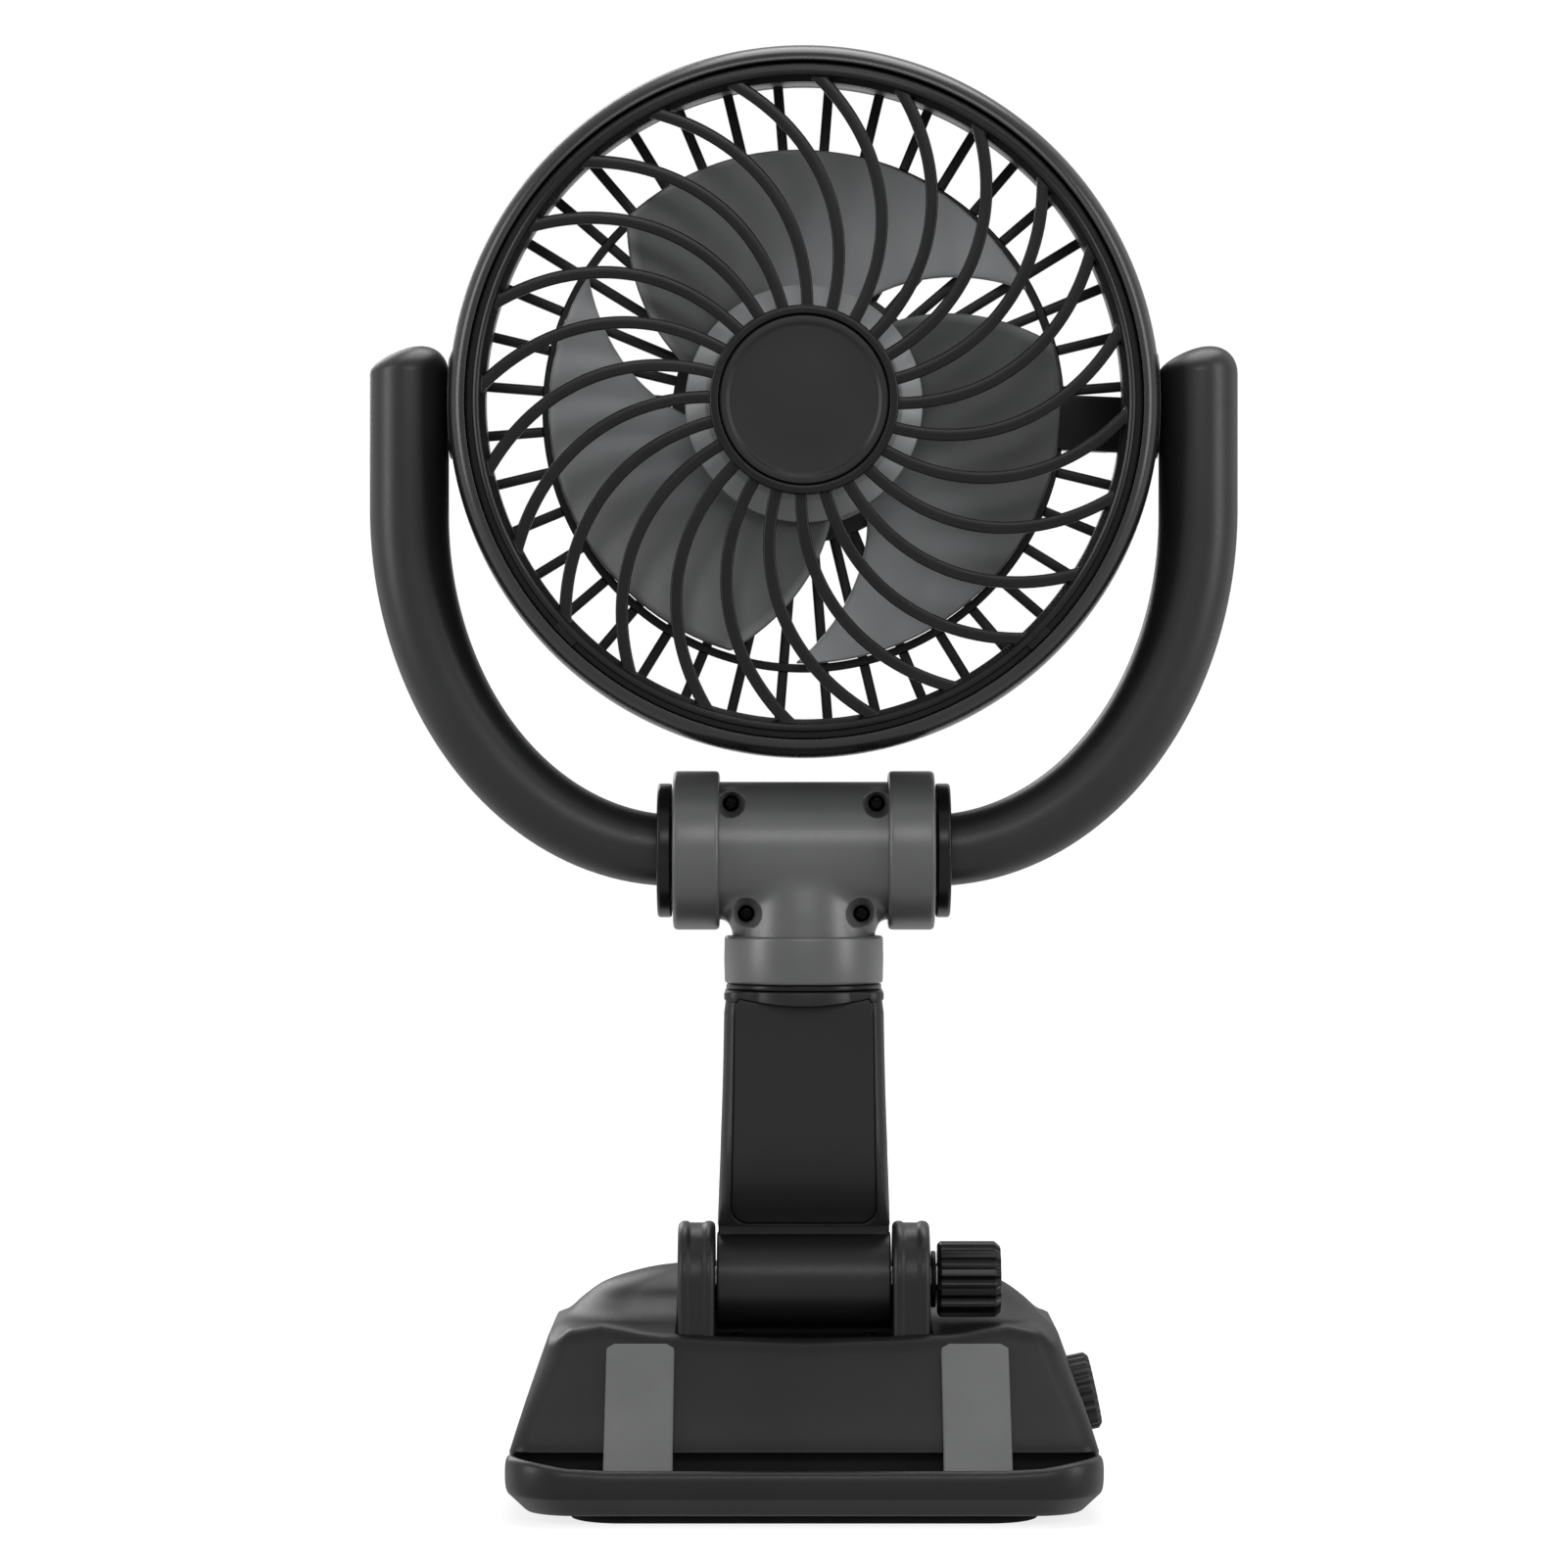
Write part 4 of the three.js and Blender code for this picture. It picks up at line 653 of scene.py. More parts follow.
def levelRing(halfWidth, front, back, corner, height, cornerSteps=10, sideSteps=8):
    # A level rectangle with round corners
    round = min(corner, halfWidth, (back - front) / 2)
    inside, rear, fore = halfWidth - round, back - round, front + round
    centres = [(inside, rear), (-inside, rear), (-inside, fore), (inside, fore)]

    def onCorner(quarter, turns):
        x, y = centres[quarter % 4]
        return x + round * cos(pi / 2 * turns), y + round * sin(pi / 2 * turns)

    ring = []
    for quarter in range(4):
        ring += [onCorner(quarter, quarter + step / cornerSteps) for step in range(cornerSteps + 1)]
        ends = list(zip(ring[-1], onCorner(quarter + 1, quarter + 1)))
        ring += [[mix(low, high, step / sideSteps) for low, high in ends] for step in range(1, sideSteps)]
    return [(x, y, height) for x, y in ring]


# Geometry Nodes trees

def closeTree(tree, given, geometry):
    real = addNode(tree, "GeometryNodeRealizeInstances", {0: geometry})[0]
    painted = addNode(tree, "GeometryNodeSetMaterial", {"Geometry": real, "Material": given["Material"]})[0]
    addNode(tree, "NodeGroupOutput", {0: painted})
    return tree


def buildBarRing():
    # Bars from an inner to an outer radius, set in a ring round Y, straight or swept
    tree, given = newGroup("GeometryNodeTree", "barRing", {
        "Geometry": ["Geometry"], "Int": ["Count", "Steps"], "Vector": ["Place"], "Material": ["Material"],
        "Float": ["Inner Radius", "Outer Radius", "First Angle", "Sweep Angle", "Sweep Power", "Width",
                  "Depth", "Edge", "Taper"],
    }, {"Geometry": ["Geometry"]})
    do, node = partial(maths, tree), partial(addNode, tree)
    line = node("GeometryNodeCurvePrimitiveLine", {"End": (1, 0, 0)})[0]
    fine = node("GeometryNodeResampleCurve", {"Curve": line, "Count": given["Steps"]})[0]
    share = node("GeometryNodeSplineParameter")["Factor"]
    reach = do("SUBTRACT", given["Outer Radius"], given["Inner Radius"])
    radius = do("ADD", do("MULTIPLY", reach, share), given["Inner Radius"])
    swept = do("MULTIPLY", given["Sweep Angle"], do("POWER", share, given["Sweep Power"]))
    angle = do("RADIANS", do("SUBTRACT", given["First Angle"], swept))
    x, y = (do("MULTIPLY", radius, do(side, angle)) for side in ("SINE", "COSINE"))
    spot = node("ShaderNodeCombineXYZ", {"X": x, "Y": y})[0]
    bend = node("GeometryNodeSetPosition", {"Geometry": fine, "Position": spot})[0]
    slimmer = do("SUBTRACT", 1.0, do("MULTIPLY", given["Taper"], share))
    slim = node("GeometryNodeSetCurveRadius", {"Curve": bend, "Radius": slimmer})[0]
    upright = node("GeometryNodeSetCurveNormal", {"Curve": slim}, mode="Z_UP")[0]
    sides = {"Width": given["Depth"], "Height": given["Width"]}
    section = node("GeometryNodeCurvePrimitiveQuadrilateral", sides)[0]
    corners = {"Curve": section, "Count": 3, "Radius": given["Edge"]}
    fillet = node("GeometryNodeFilletCurve", corners, mode="POLY")[0]
    bar = node("GeometryNodeCurveToMesh", {"Curve": upright, "Profile Curve": fillet, "Fill Caps": True})[0]
    spots = node("GeometryNodePoints", {"Count": given["Count"]})[0]
    number = node("GeometryNodeInputIndex")[0]
    share = do("DIVIDE", do("MULTIPLY", number, 2 * pi), given["Count"])
    turn = node("ShaderNodeCombineXYZ", {"Z": share})[0]
    copies = node("GeometryNodeInstanceOnPoints", {"Points": spots, "Instance": bar, "Rotation": turn})[0]
    stance = {"Geometry": copies, "Rotation": (pi / 2, 0, 0), "Translation": given["Place"]}
    return closeTree(tree, given, node("GeometryNodeTransform", stance)[0])


def buildScrewSet():
    # One screw on every point of the given mesh, turned the same way, each slot at its own angle
    tree, given = newGroup("GeometryNodeTree", "screwSet", {
        "Geometry": ["Geometry"], "Object": ["Screw"], "Vector": ["Facing"], "Float": ["Size"],
        "Int": ["Seed"], "Material": ["Material"],
    }, {"Geometry": ["Geometry"]})
    node = partial(addNode, tree)
    source = node("GeometryNodeObjectInfo", {"Object": given["Screw"]})["Geometry"]
    # input 3 and output 1 are the highest value and the result of a random float
    chance = node("FunctionNodeRandomValue", {"Seed": given["Seed"], 3: 2 * pi}, data_type="FLOAT")[1]
    spin = node("ShaderNodeCombineXYZ", {"Z": chance})[0]
    facing, own = (node("FunctionNodeEulerToRotation", {0: euler})[0] for euler in (given["Facing"], spin))
    turn = node("FunctionNodeRotateRotation", {0: facing, 1: own}, rotation_space="LOCAL")[0]
    copies = node("GeometryNodeInstanceOnPoints", {
        "Points": given["Geometry"], "Instance": source, "Rotation": turn, "Scale": given["Size"]})[0]
    return closeTree(tree, given, copies)


barRing = buildBarRing()
screwSet = buildScrewSet()


def grown(name, tree, values, points=()):
    mesh = bpy.data.meshes.new(name)
    mesh.from_pydata([Vector(point) * mm for point in points], [], [])
    piece = added(name, mesh)
    grow = piece.modifiers.new(name, "NODES")
    grow.node_group = tree
    for item in tree.interface.items_tree:
        if item.in_out == "INPUT" and item.name in values:
            grow[item.identifier] = values[item.name]
    return bake(piece)


# Head: shroud, grilles, hub disc and duct cover

shroud = {
    "outline": [
        (66.0, -13.7, 0.15), (66.0, -17.3, 0.4), *ellipseCorner(66.3, -11.3, 3.2, 6.0, 14), (69.5, 9.0, 6),
        (68.87, 14.1, 4), (67.6, 18.2, 1.0), (66.0, 18.2, 0.3), (66.0, 13.3, 0.1), (64.9, 13.3, 0.1),
        (64.9, -9.0, 0.1), (62.0, -9.0, 0.4), (62.0, -13.7, 0.2),
    ],
    "boss": [(0, 65.3), (10.5, 65.3, 0), (10.5, 69.73, 0.35), (0, 69.73)],
    "pinBore": 2.5, "boreSpan": (60, 75),
}


def makeShroud():
    ring = turned("headShroud", shroud["outline"], "Y", 220, fanMiddle)
    boss = turned("boss", shroud["boss"], "X", 72, fanMiddle)
    bore = rod("bore", shroud["pinBore"], *shroud["boreSpan"], "X", 32, fanMiddle)
    carve(ring, add=[mirrored(boss, "bossLeft"), boss], remove=[mirrored(bore, "boreLeft"), bore])
    settle(ring, "rimPlastic", "head", "head_shroud")


def grilleBars(name, bars, finish):
    lengths = ("Inner Radius", "Outer Radius", "Width", "Depth", "Edge")
    values = {label: value * mm if label in lengths else value for label, value in bars.items()}
    values["Place"] = (0, bars["Middle"] * mm, fanZ * mm)
    values["Material"] = finishes[finish]
    return grown(name, barRing, values)


frontGrille = {
    "bezel": [
        (62.0, -14.0, 0.1), (62.0, -15.0, 0.3), (63.1, -17.4, 0.4), (63.7, -17.9, 0.35),
        (64.4, -17.4, 0.35), (64.5, -15.2, 0.1), (65.7, -15.2, 0.1), (65.7, -14.0, 0.1),
    ],
    "hub": [(0, -14.3), (18.4, -14.3, 0.3), (18.4, -18.5, 0.6), (16.7, -18.5, 0.35), (16.7, -15.9, 0.1),
            (0, -15.9)],
    "tabs": (135.5, 225.5), "tabLow": (-2.6, -16.7, 64.0), "tabHigh": (2.6, -14.3, 65.75),
    "ribs": {"Count": 24, "Inner Radius": 17.6, "Outer Radius": 63.4, "First Angle": 2.0,
             "Sweep Angle": 30.0, "Sweep Power": 1.55, "Width": 1.6, "Depth": 2.4, "Edge": 0.42,
             "Taper": 0.24, "Steps": 36, "Middle": -15.8},
}


def makeFrontGrille():
    parts = [turned("bezel", frontGrille["bezel"], "Y", 220, fanMiddle),
             turned("hub", frontGrille["hub"], "Y", 120, fanMiddle)]
    for degrees in frontGrille["tabs"]:
        tab = block("tab", frontGrille["tabLow"], frontGrille["tabHigh"], 0.25, 0.2)
        parts.append(shifted(moved(tab, Matrix.Rotation(radians(degrees), 4, "Y")), z=fanZ))
    parts.append(grilleBars("ribs", frontGrille["ribs"], "darkGlossPlastic"))
    settle(merged("frontGrille", parts), "darkGlossPlastic", "head", "front_grille")


hubDisc = [
    (0, -16.2), (16.4, -16.2, 0.1), (16.4, -17.9, 0.3), (15.1, -17.9, 0.25), (14.5, -17.35, 0.35),
    (8.0, -17.5, 3), (0, -17.55),
]
rearGrille = {
    "rim": [(65.7, 13.6, 0.15), (65.7, 16.6, 0.25), (65.0, 16.6, 0.25), (65.0, 13.6, 0.15)],
    "middleRing": [(52.3, 14.6, 0.2), (52.3, 16.6, 0.5), (50.6, 16.6, 0.5), (50.6, 14.6, 0.2)],
    "hub": [(4.5, 13.6, 0.1), (26.3, 13.6, 0.3), (26.3, 16.6, 0.6), (22.5, 16.6, 0.3), (21.8, 16.15, 0.3),
            (12.0, 16.15, 0.3), (11.4, 16.6, 0.3), (4.5, 16.6, 0.2)],
    "spokes": {"Count": 40, "Inner Radius": 24.6, "Outer Radius": 65.3, "First Angle": 4.5,
               "Sweep Angle": 0.0, "Sweep Power": 1.0, "Width": 1.7, "Depth": 2.0, "Edge": 0.4, "Steps": 2,
               "Middle": 15.6},
    "ductLow": (15.3, 13.6, -5.5), "ductHigh": (65.0, 16.6, 5.5),
    "grooveLow": (9.6, 15.1, -3.2), "grooveHigh": (62.7, 20, 3.2), "tiltRise": 2.8, "tiltRun": 64.9,
}


def atDuct(piece):
    tilt = atan2(rearGrille["tiltRise"], rearGrille["tiltRun"])
    return shifted(moved(piece, Matrix.Rotation(tilt, 4, "Y")), z=fanZ)


def makeRearGrille():
    parts = [turned(part, rearGrille[part], "Y", sides, fanMiddle)
             for part, sides in (("rim", 220), ("middleRing", 200), ("hub", 140))]
    parts.append(grilleBars("spokes", rearGrille["spokes"], "blackPlastic"))
    duct = atDuct(block("duct", rearGrille["ductLow"], rearGrille["ductHigh"], 0.25, 0.6))
    groove = atDuct(block("groove", rearGrille["grooveLow"], rearGrille["grooveHigh"], 0, 0))
    parts.append(carve(duct, remove=[groove]))
    settle(merged("rearGrille", parts), "blackPlastic", "head", "rear_grille")


ductCover = {"low": (9.3, 16.9, -5.5), "high": (62.4, 18.0, 5.5), "round": 0.45, "corner": 1.6}


def makeDuctCover():
    cover = block("ductCover", ductCover["low"], ductCover["high"], ductCover["round"], ductCover["corner"])
    settle(atDuct(cover), "darkGlossPlastic", "head", "wire_duct_cover")


makeShroud()
makeFrontGrille()
settleTurned("hubDisc", hubDisc, "Y", 120, fanMiddle, "blackPlastic", "head", "hub_cap")
makeRearGrille()
makeDuctCover()
print("head made")


# Impeller with three twisted blades

impeller = {
    "hub": [
        (0, -9.0), (19.3, -9.0, 0.5), (23.3, -6.8, 0.5), (23.3, 12.0, 0.25), (21.6, 12.0, 0.25),
        (21.6, -5.61, 0.2), (19.0, -7.3, 0.2), (0, -7.3),
    ],
    "radii": (22.6, 50.6), "thickness": 1.5, "depths": (-5.5, 11.0), "camber": 1.4, "blades": 3,
    "frontAngles": (46.0, 76.5), "backAngles": (146.5, 182.0), "reachSteps": 19, "chordSteps": 36,
    "edge": 0.62,
}


def makeBlade(turn):
    def spot(side, out, share):
        radius = mix(*impeller["radii"], out)
        front, back = mix(*impeller["frontAngles"], out), mix(*impeller["backAngles"], out)
        angle = radians(turn + mix(front, back, share))
        y = mix(*impeller["depths"], share) - impeller["camber"] * sin(pi * share)
        return radius * sin(angle), y + (side - 0.5) * impeller["thickness"], radius * cos(angle) + fanZ

    blade = slab("blade", impeller["reachSteps"], impeller["chordSteps"], spot)
    return softenRims(blade, impeller["edge"], 3, 40)


def makeImpeller():
    hub = turned("fanHub", impeller["hub"], "Y", 140, fanMiddle)
    blades = [makeBlade(360 * index / impeller["blades"]) for index in range(impeller["blades"])]
    settle(merged("impellerPiece", [hub, *blades]), "bladePlastic", "rotor", "impeller")


makeImpeller()
print("impeller made")


# Yoke: front and rear half tubes, flanges beside the tee

yoke = {
    "legX": 77.82, "footWidth": 14.16, "width": 15.58, "depth": 17.0, "bendFoot": 25.06, "bendTop": 66.76,
    "crown": 94.0, "dome": 5.2, "lean": 0.24, "seam": 0.15, "seamEdge": 0.42, "bendSteps": 44,
    "domeSteps": 12, "sectionSteps": 26, "dish": (2.3, 7.0, 12), "domeTurn": radians(88),
    "seamCurve": (0.35, 0.2, 0.6),
    "screws": [(-65.2, 7.0, 151.6), (65.2, 7.0, 151.6)],
}


def yokeStations():
    # x, height over the tee, outward direction, share of the bend, shrink and lean of the section
    half = []
    wide, tall = yoke["legX"] - yoke["bendFoot"], yoke["bendTop"]
    for step in range(yoke["bendSteps"] + 1):
        share = step / yoke["bendSteps"]
        angle = pi / 2 * share
        heading = Vector((wide * cos(angle), tall * sin(angle))).normalized()
        half.append((yoke["bendFoot"] + wide * sin(angle), tall * (1 - cos(angle)), heading.y, -heading.x,
                     share, 1.0, 0.0))
    for step in range(yoke["domeSteps"] + 1):
        angle = yoke["domeTurn"] * step / yoke["domeSteps"]
        half.append((yoke["legX"], yoke["crown"] + yoke["dome"] * sin(angle), 1.0, 0.0, 1.0,
                     max(cos(angle), 0.02), yoke["lean"] * sin(angle)))
    foot = (0.0, 0.0, 0.0, -1.0, 0.0, 1.0, 0.0)
    other = [(-x, z, -outX, outZ, share, shrink, lean) for x, z, outX, outZ, share, shrink, lean in half]
    return [*reversed(other), foot, *half]


def makeYokeShell(name, side):
    seam, steps = yoke["seam"], yoke["sectionSteps"]
    inward, low, high = yoke["seamCurve"]
    rings = []
    for x, z, outX, outZ, share, shrink, lean in yokeStations():
        halfWidth = mix(yoke["footWidth"], yoke["width"], share) / 2 * shrink
        halfDepth = mix(yoke["footWidth"], yoke["depth"], share) / 2 * shrink
        flip = -1 if x < 0 else 1
        edge = yoke["seamEdge"] * shrink
        section = [(halfWidth - edge, seam), (halfWidth - edge * inward, seam + edge * low)]
        for step in range(1, steps):
            angle = pi * step / steps
            section.append((halfWidth * cos(angle), max(halfDepth * sin(angle), seam + edge * high)))
        section += [(-out, across) for out, across in reversed(section[:2])]
        rings.append([(x + out * flip * outX, side * across, teeZ + z + out * flip * outZ + out * lean)
                      for out, across in section])
    return loft(name, rings)


def makeYoke():
    front, rear = makeYokeShell("yokeFront", -1), makeYokeShell("yokeRear", 1)
    dishes = [rod("dish", *yoke["dish"], "Y", 40, (x, 0, z)) for x, _, z in yoke["screws"]]
    carve(rear, remove=[merged("dishes", dishes)])
    # the yoke tubes take the lighter copy of the black plastic, painted light
    settle(front, "satinTubePaintedLighter", "yoke", "yoke_front_shell")
    settle(rear, "satinTubePaintedLighter", "yoke", "yoke_rear_shell")


flange = [(7.68, 26.0, 0.2), (13.2, 26.0, 0.5), (13.2, 28.8, 0.7), (7.68, 28.8, 0.3)]

makeYoke()
settlePair("flange", flange, 110, "darkGlossPlastic", "yoke", "yoke_flange")
print("yoke made")


# Tee: two half shells blended from crossing tubes, two end collars and the swivel collar

tee = {
    "radius": 13.6, "halfLength": 25.7, "foot": 102.2, "bossRadius": 3.1, "bore": 7.38, "seam": 0.15,
    "neck": [(14.0, 102.2), (14.0, 110.2), (13.5, 116.2), (12.8, 121.2), (12.2, 126.2)],
    "gusset": [(-16.4, -9.0), (16.4, -9.0), (13.9, -16.5), (-13.9, -16.5)], "gussetSpan": (-7.5, 7.5),
    "voxel": 0.42, "smoothing": 80,
    # the upper and the lower pair of screws: place, front of the boss, seat of the head, dish
    "screws": [{"x": 14.3, "z": 9.3, "reach": 8.6, "seat": 5.4, "dish": (2.5, 1.7)},
               {"x": 11.3, "z": -12.3, "reach": 9.6, "seat": 6.3, "dish": (2.8, 1.7)}],
    "screwSize": 0.78, "dishDepth": 1.7, "dishEdge": 0.2, "dishFlare": 0.3, "dishFront": 5,
    "spigotBore": [(0, 97.2), (9.2, 97.2), (9.2, 106.5), (10.8, 106.5), (10.8, 109.1), (9.2, 109.1),
                   (9.2, 116.5), (0, 116.5)],
    "cutReach": 40,
}
teeScrews = [(screw, side) for screw in tee["screws"] for side in (-1, 1)]


def makeTeeBody():
    end = tee["halfLength"]
    across = rod("teeBody", tee["radius"], -end, end, "X", 96, teeMiddle)
    neck = turned("neck", [(0, tee["foot"]), *tee["neck"], (0, tee["neck"][-1][1])], "Z", 96, round=0)
    gusset = pushed("gusset", [(x, teeZ + z) for x, z in tee["gusset"]], tee["gussetSpan"])
    bosses = [rod("boss", tee["bossRadius"], -screw["reach"], screw["reach"], "Y", 48,
                  (side * screw["x"], 0, teeZ + screw["z"])) for screw, side in teeScrews]
    carve(across, add=[neck, gusset, *bosses])
    cells = across.modifiers.new("cells", "REMESH")
    cells.mode = "VOXEL"
    cells.voxel_size = tee["voxel"] * mm
    relax = across.modifiers.new("relax", "SMOOTH")
    relax.factor = 0.5
    relax.iterations = tee["smoothing"]
    return bake(across, 60)


def teeDish(screw, side):
    # A shallow countersunk dish in front of the screw, open to the front
    wide, narrow = screw["dish"]
    face, seat, edge = -screw["reach"], -screw["seat"], tee["dishEdge"]
    mouth, front = wide + tee["dishFlare"], face - tee["dishFront"]
    outline = [(0, seat), (narrow, seat), (narrow, face + tee["dishDepth"], 0.2), (wide, face + edge, 0.3),
               (mouth, face - edge), (mouth, front), (0, front)]
    return turned("dish", softened(outline, 0), "Y", 56, (side * screw["x"], 0, teeZ + screw["z"]), round=0)


def makeTee():
    front = makeTeeBody()
    rear = copyOf(front, "teeRear")
    front.name = "teeFront"
    reach, seam = tee["cutReach"], tee["seam"]
    for piece, near, far in ((front, -reach, -seam), (rear, seam, reach)):
        half = block("half", (-reach, near, teeZ - reach), (reach, far, teeZ + reach), 0, 0)
        bore = rod("bore", tee["bore"], -reach, reach, "X", 80, teeMiddle)
        seatBore = turned("seatBore", tee["spigotBore"], "Z", 80, round=0)
        dishes = [teeDish(screw, side) for screw, side in teeScrews] if piece is front else []
        carve(piece, keep=[half], remove=[bore, seatBore, *dishes])
    settle(front, "greyPlastic", "tee", "tee_front_shell")
    settle(rear, "greyPlastic", "tee", "tee_rear_shell")


collar = [(13.6, 16.6, 0.15), (15.65, 16.6, 1.1), (15.65, 25.7, 1.0), (13.6, 25.7, 0.2)]
swivelCollar = [(14.2, 102.1, 0.15), (15.6, 102.1, 0.6), (15.7, 107.0, 4.0), (15.6, 111.4, 1.3),
                (14.2, 111.4, 0.1)]

makeTee()
settlePair("collar", collar, 128, "greyPlastic", "tee", "tee_collar")
settleTurned("swivelCollar", swivelCollar, "Z", 128, (0, 0, 0), "greyPlastic", "tee", "swivel_collar")
print("tee made")


# Arm with its barrel, recessed front panel and round top

arm = {
    # height over the hinge, half width, front, back
    "rows": [
        (10.87, 16.95, 5.6, 8.0), (13.0, 16.9, 6.8, 9.6), (16.0, 16.77, 8.6, 11.3), (20.0, 16.6, 10.7, 12.3),
        (24.0, 16.42, 12.1, 12.5), (28.0, 16.3, 12.5, 12.5), (35.0, 16.05, 12.5, 12.5),
        (42.0, 15.85, 12.5, 12.5), (48.0, 15.72, 12.5, 12.5), (53.0, 15.63, 12.6, 12.6),
    ],
    "corner": 4.0, "ringSteps": (10, 20), "panelGrid": (46, 25),
    # inset, height over the hinge, share of the sag
    "cap": [(0.35, 55.35, 1), (0.05, 55.55, 1), (0, 55.8, 1), (0, 56.6, 0.13), (0.1, 57.0, 0),
            (0.45, 57.2, 0)],
    "topRadius": 15.6, "neckLow": (-16.85, -2.4), "neckHigh": (16.85, 6.0), "neckTall": 12, "sag": 1.5,
    "barrel": [(0, -17.1), (9.37, -17.1, 0.5), (9.37, 17.1, 0.5), (0, 17.1)], "boltBore": (2.8, -20, 20),
    "panelSunk": 0.62, "panelThickness": 2.0, "panelLow": 11.4, "panelHigh": 55.85, "gap": 0.07,
    "panelFoot": 14.4, "panelHead": 13.5, "footCorner": 3.4, "headCorner": 0.8,
    "screwHeight": 36.04, "screwSeat": 11.0, "screwBore": (2.3, 11.0, 20), "spigotBore": (13.1, -2, 3),
}
armRows = smoothTable(arm["rows"], 48)


def armFront(height):
    for before, after in zip(armRows, armRows[1:]):
        if before[0] <= height <= after[0]:
            return mix(before[2], after[2], (height - before[0]) / (after[0] - before[0]))
    return armRows[0 if height < armRows[0][0] else -1][2]


def panelSlab(name, gap, front, back):
    # A slab behind the front of the arm; its head sags between the shoulders, its feet are round
    low, high = arm["panelLow"] - gap, arm["panelHigh"] + gap

    def spot(side, along, across):
        share = 2 * across - 1
        height = mix(low, high, along ** 1.5)
        half = mix(arm["panelFoot"], arm["panelHead"], along) + gap
        half -= cornerTrim(arm["footCorner"], height - low) + cornerTrim(arm["headCorner"], high - height)
        height -= arm["sag"] * (1 - share ** 2) * along ** 3
        return half * share, (back if side else front) - armFront(height), hingeZ + height

    return slab(name, *arm["panelGrid"], spot, 40)


def makeArm():
    rings = [levelRing(halfWidth, -front, back, arm["corner"], hingeZ + height, *arm["ringSteps"])
             for height, halfWidth, front, back in armRows]
    top = [Vector(point[:2]) for point in rings[-1]]

    def capRing(inset, height, sag):
        # The round seat and the square post in one outline
        wide = [spot.normalized() * (max(arm["topRadius"], spot.length) - inset) for spot in top]
        return [(x, y, hingeZ + height - sag * (1 - min(1, abs(x) / arm["topRadius"]) ** 2)) for x, y in wide]

    rings += [capRing(inset, height, sag * arm["sag"]) for inset, height, sag in arm["cap"]]
    shell = loft("armShell", rings, 40)
    neckTop = hingeZ + arm["neckTall"]
    neck = block("neck", (*arm["neckLow"], hingeZ), (*arm["neckHigh"], neckTop), 0.2, 0.4, "Z")
    barrel = turned("barrel", arm["barrel"], "X", 96, hingeMiddle)
    bolt = rod("bolt", *arm["boltBore"], "X", 40, hingeMiddle)
    floor = arm["panelSunk"] + arm["panelThickness"]
    pocket = panelSlab("pocket", arm["gap"], -30, floor + arm["gap"])
    screwZ = hingeZ + arm["screwHeight"]
    screwHole = rod("screwHole", *arm["screwBore"], "Y", 40, (0, 0, screwZ))
    spigotHole = rod("spigotHole", *arm["spigotBore"], "Z", 96, (0, 0, armTopZ))
    carve(shell, add=[neck, barrel], remove=[bolt, pocket, screwHole, spigotHole], angle=36)
    settle(shell, "blackPlastic", "arm", "arm_rear_shell")
    plate = softenRims(panelSlab("armPanel", 0.0, arm["panelSunk"], floor), 0.5, 3, 50)
    settle(plate, "blackPlastic", "arm", "arm_front_panel")


washer = [(9.5, 101.0, 0.1), (15.3, 101.0, 0.2), (15.3, 101.9, 0.2), (9.5, 101.9, 0.1)]

makeArm()
settleTurned("swivelWasher", washer, "Z", 110, (0, 0, 0), "darkGlossPlastic", "arm", "swivel_washer")
print("arm made")


# Hinge: bracket ears, end cap, washer and the fluted knob

hinge = {
    "earRadius": 11.5, "foot": 31.5, "boltBore": (2.8, -30, 30), "capSeat": (5.7, -30, -23.3), "arcSteps": 60,
    "floorLow": (-24.8, -11.4, 30.5), "floorHigh": (24.8, 13.6, 32.5),
    # distance from the middle, how far the edge is drawn in
    "profile": [(17.45, 0.9), (17.6, 0.5), (17.9, 0.2), (18.3, 0.03), (18.7, 0.0), (19.3, 0.05),
                (19.6, 0.3), (20.2, 0.34), (22.0, 0.34), (22.5, 0.3), (22.8, 0.05), (23.4, 0.0),
                (23.9, 0.06), (24.3, 0.26), (24.6, 0.6), (24.75, 1.0)],
}


def makeEar():
    # Two rounded cheeks with a shallow hollow band between them
    rings = []
    turns = [pi * step / hinge["arcSteps"] for step in range(hinge["arcSteps"] + 1)]
    for x, inset in hinge["profile"]:
        reach = hinge["earRadius"] - inset
        arc = [(x, reach * cos(turn), hingeZ + reach * sin(turn)) for turn in turns]
        rings.append([*arc, (x, -reach, hinge["foot"]), (x, reach, hinge["foot"])])
    return loft("earRight", rings, 40)


def makeBracket():
    right = makeEar()
    left = mirrored(right, "earLeft")
    floor = block("bracketFloor", hinge["floorLow"], hinge["floorHigh"], 0.4, 0.4)
    bore = rod("bore", *hinge["boltBore"], "X", 40, hingeMiddle)
    capSeat = rod("capSeat", *hinge["capSeat"], "X", 64, hingeMiddle)
    carve(right, remove=[copyOf(bore, "boreRight")], angle=40)
    carve(left, remove=[bore, capSeat], angle=40)
    whole = merged("hingeBracket", [right, left, floor], 40)
    settle(whole, "blackPlastic", "base", "hinge_bracket")


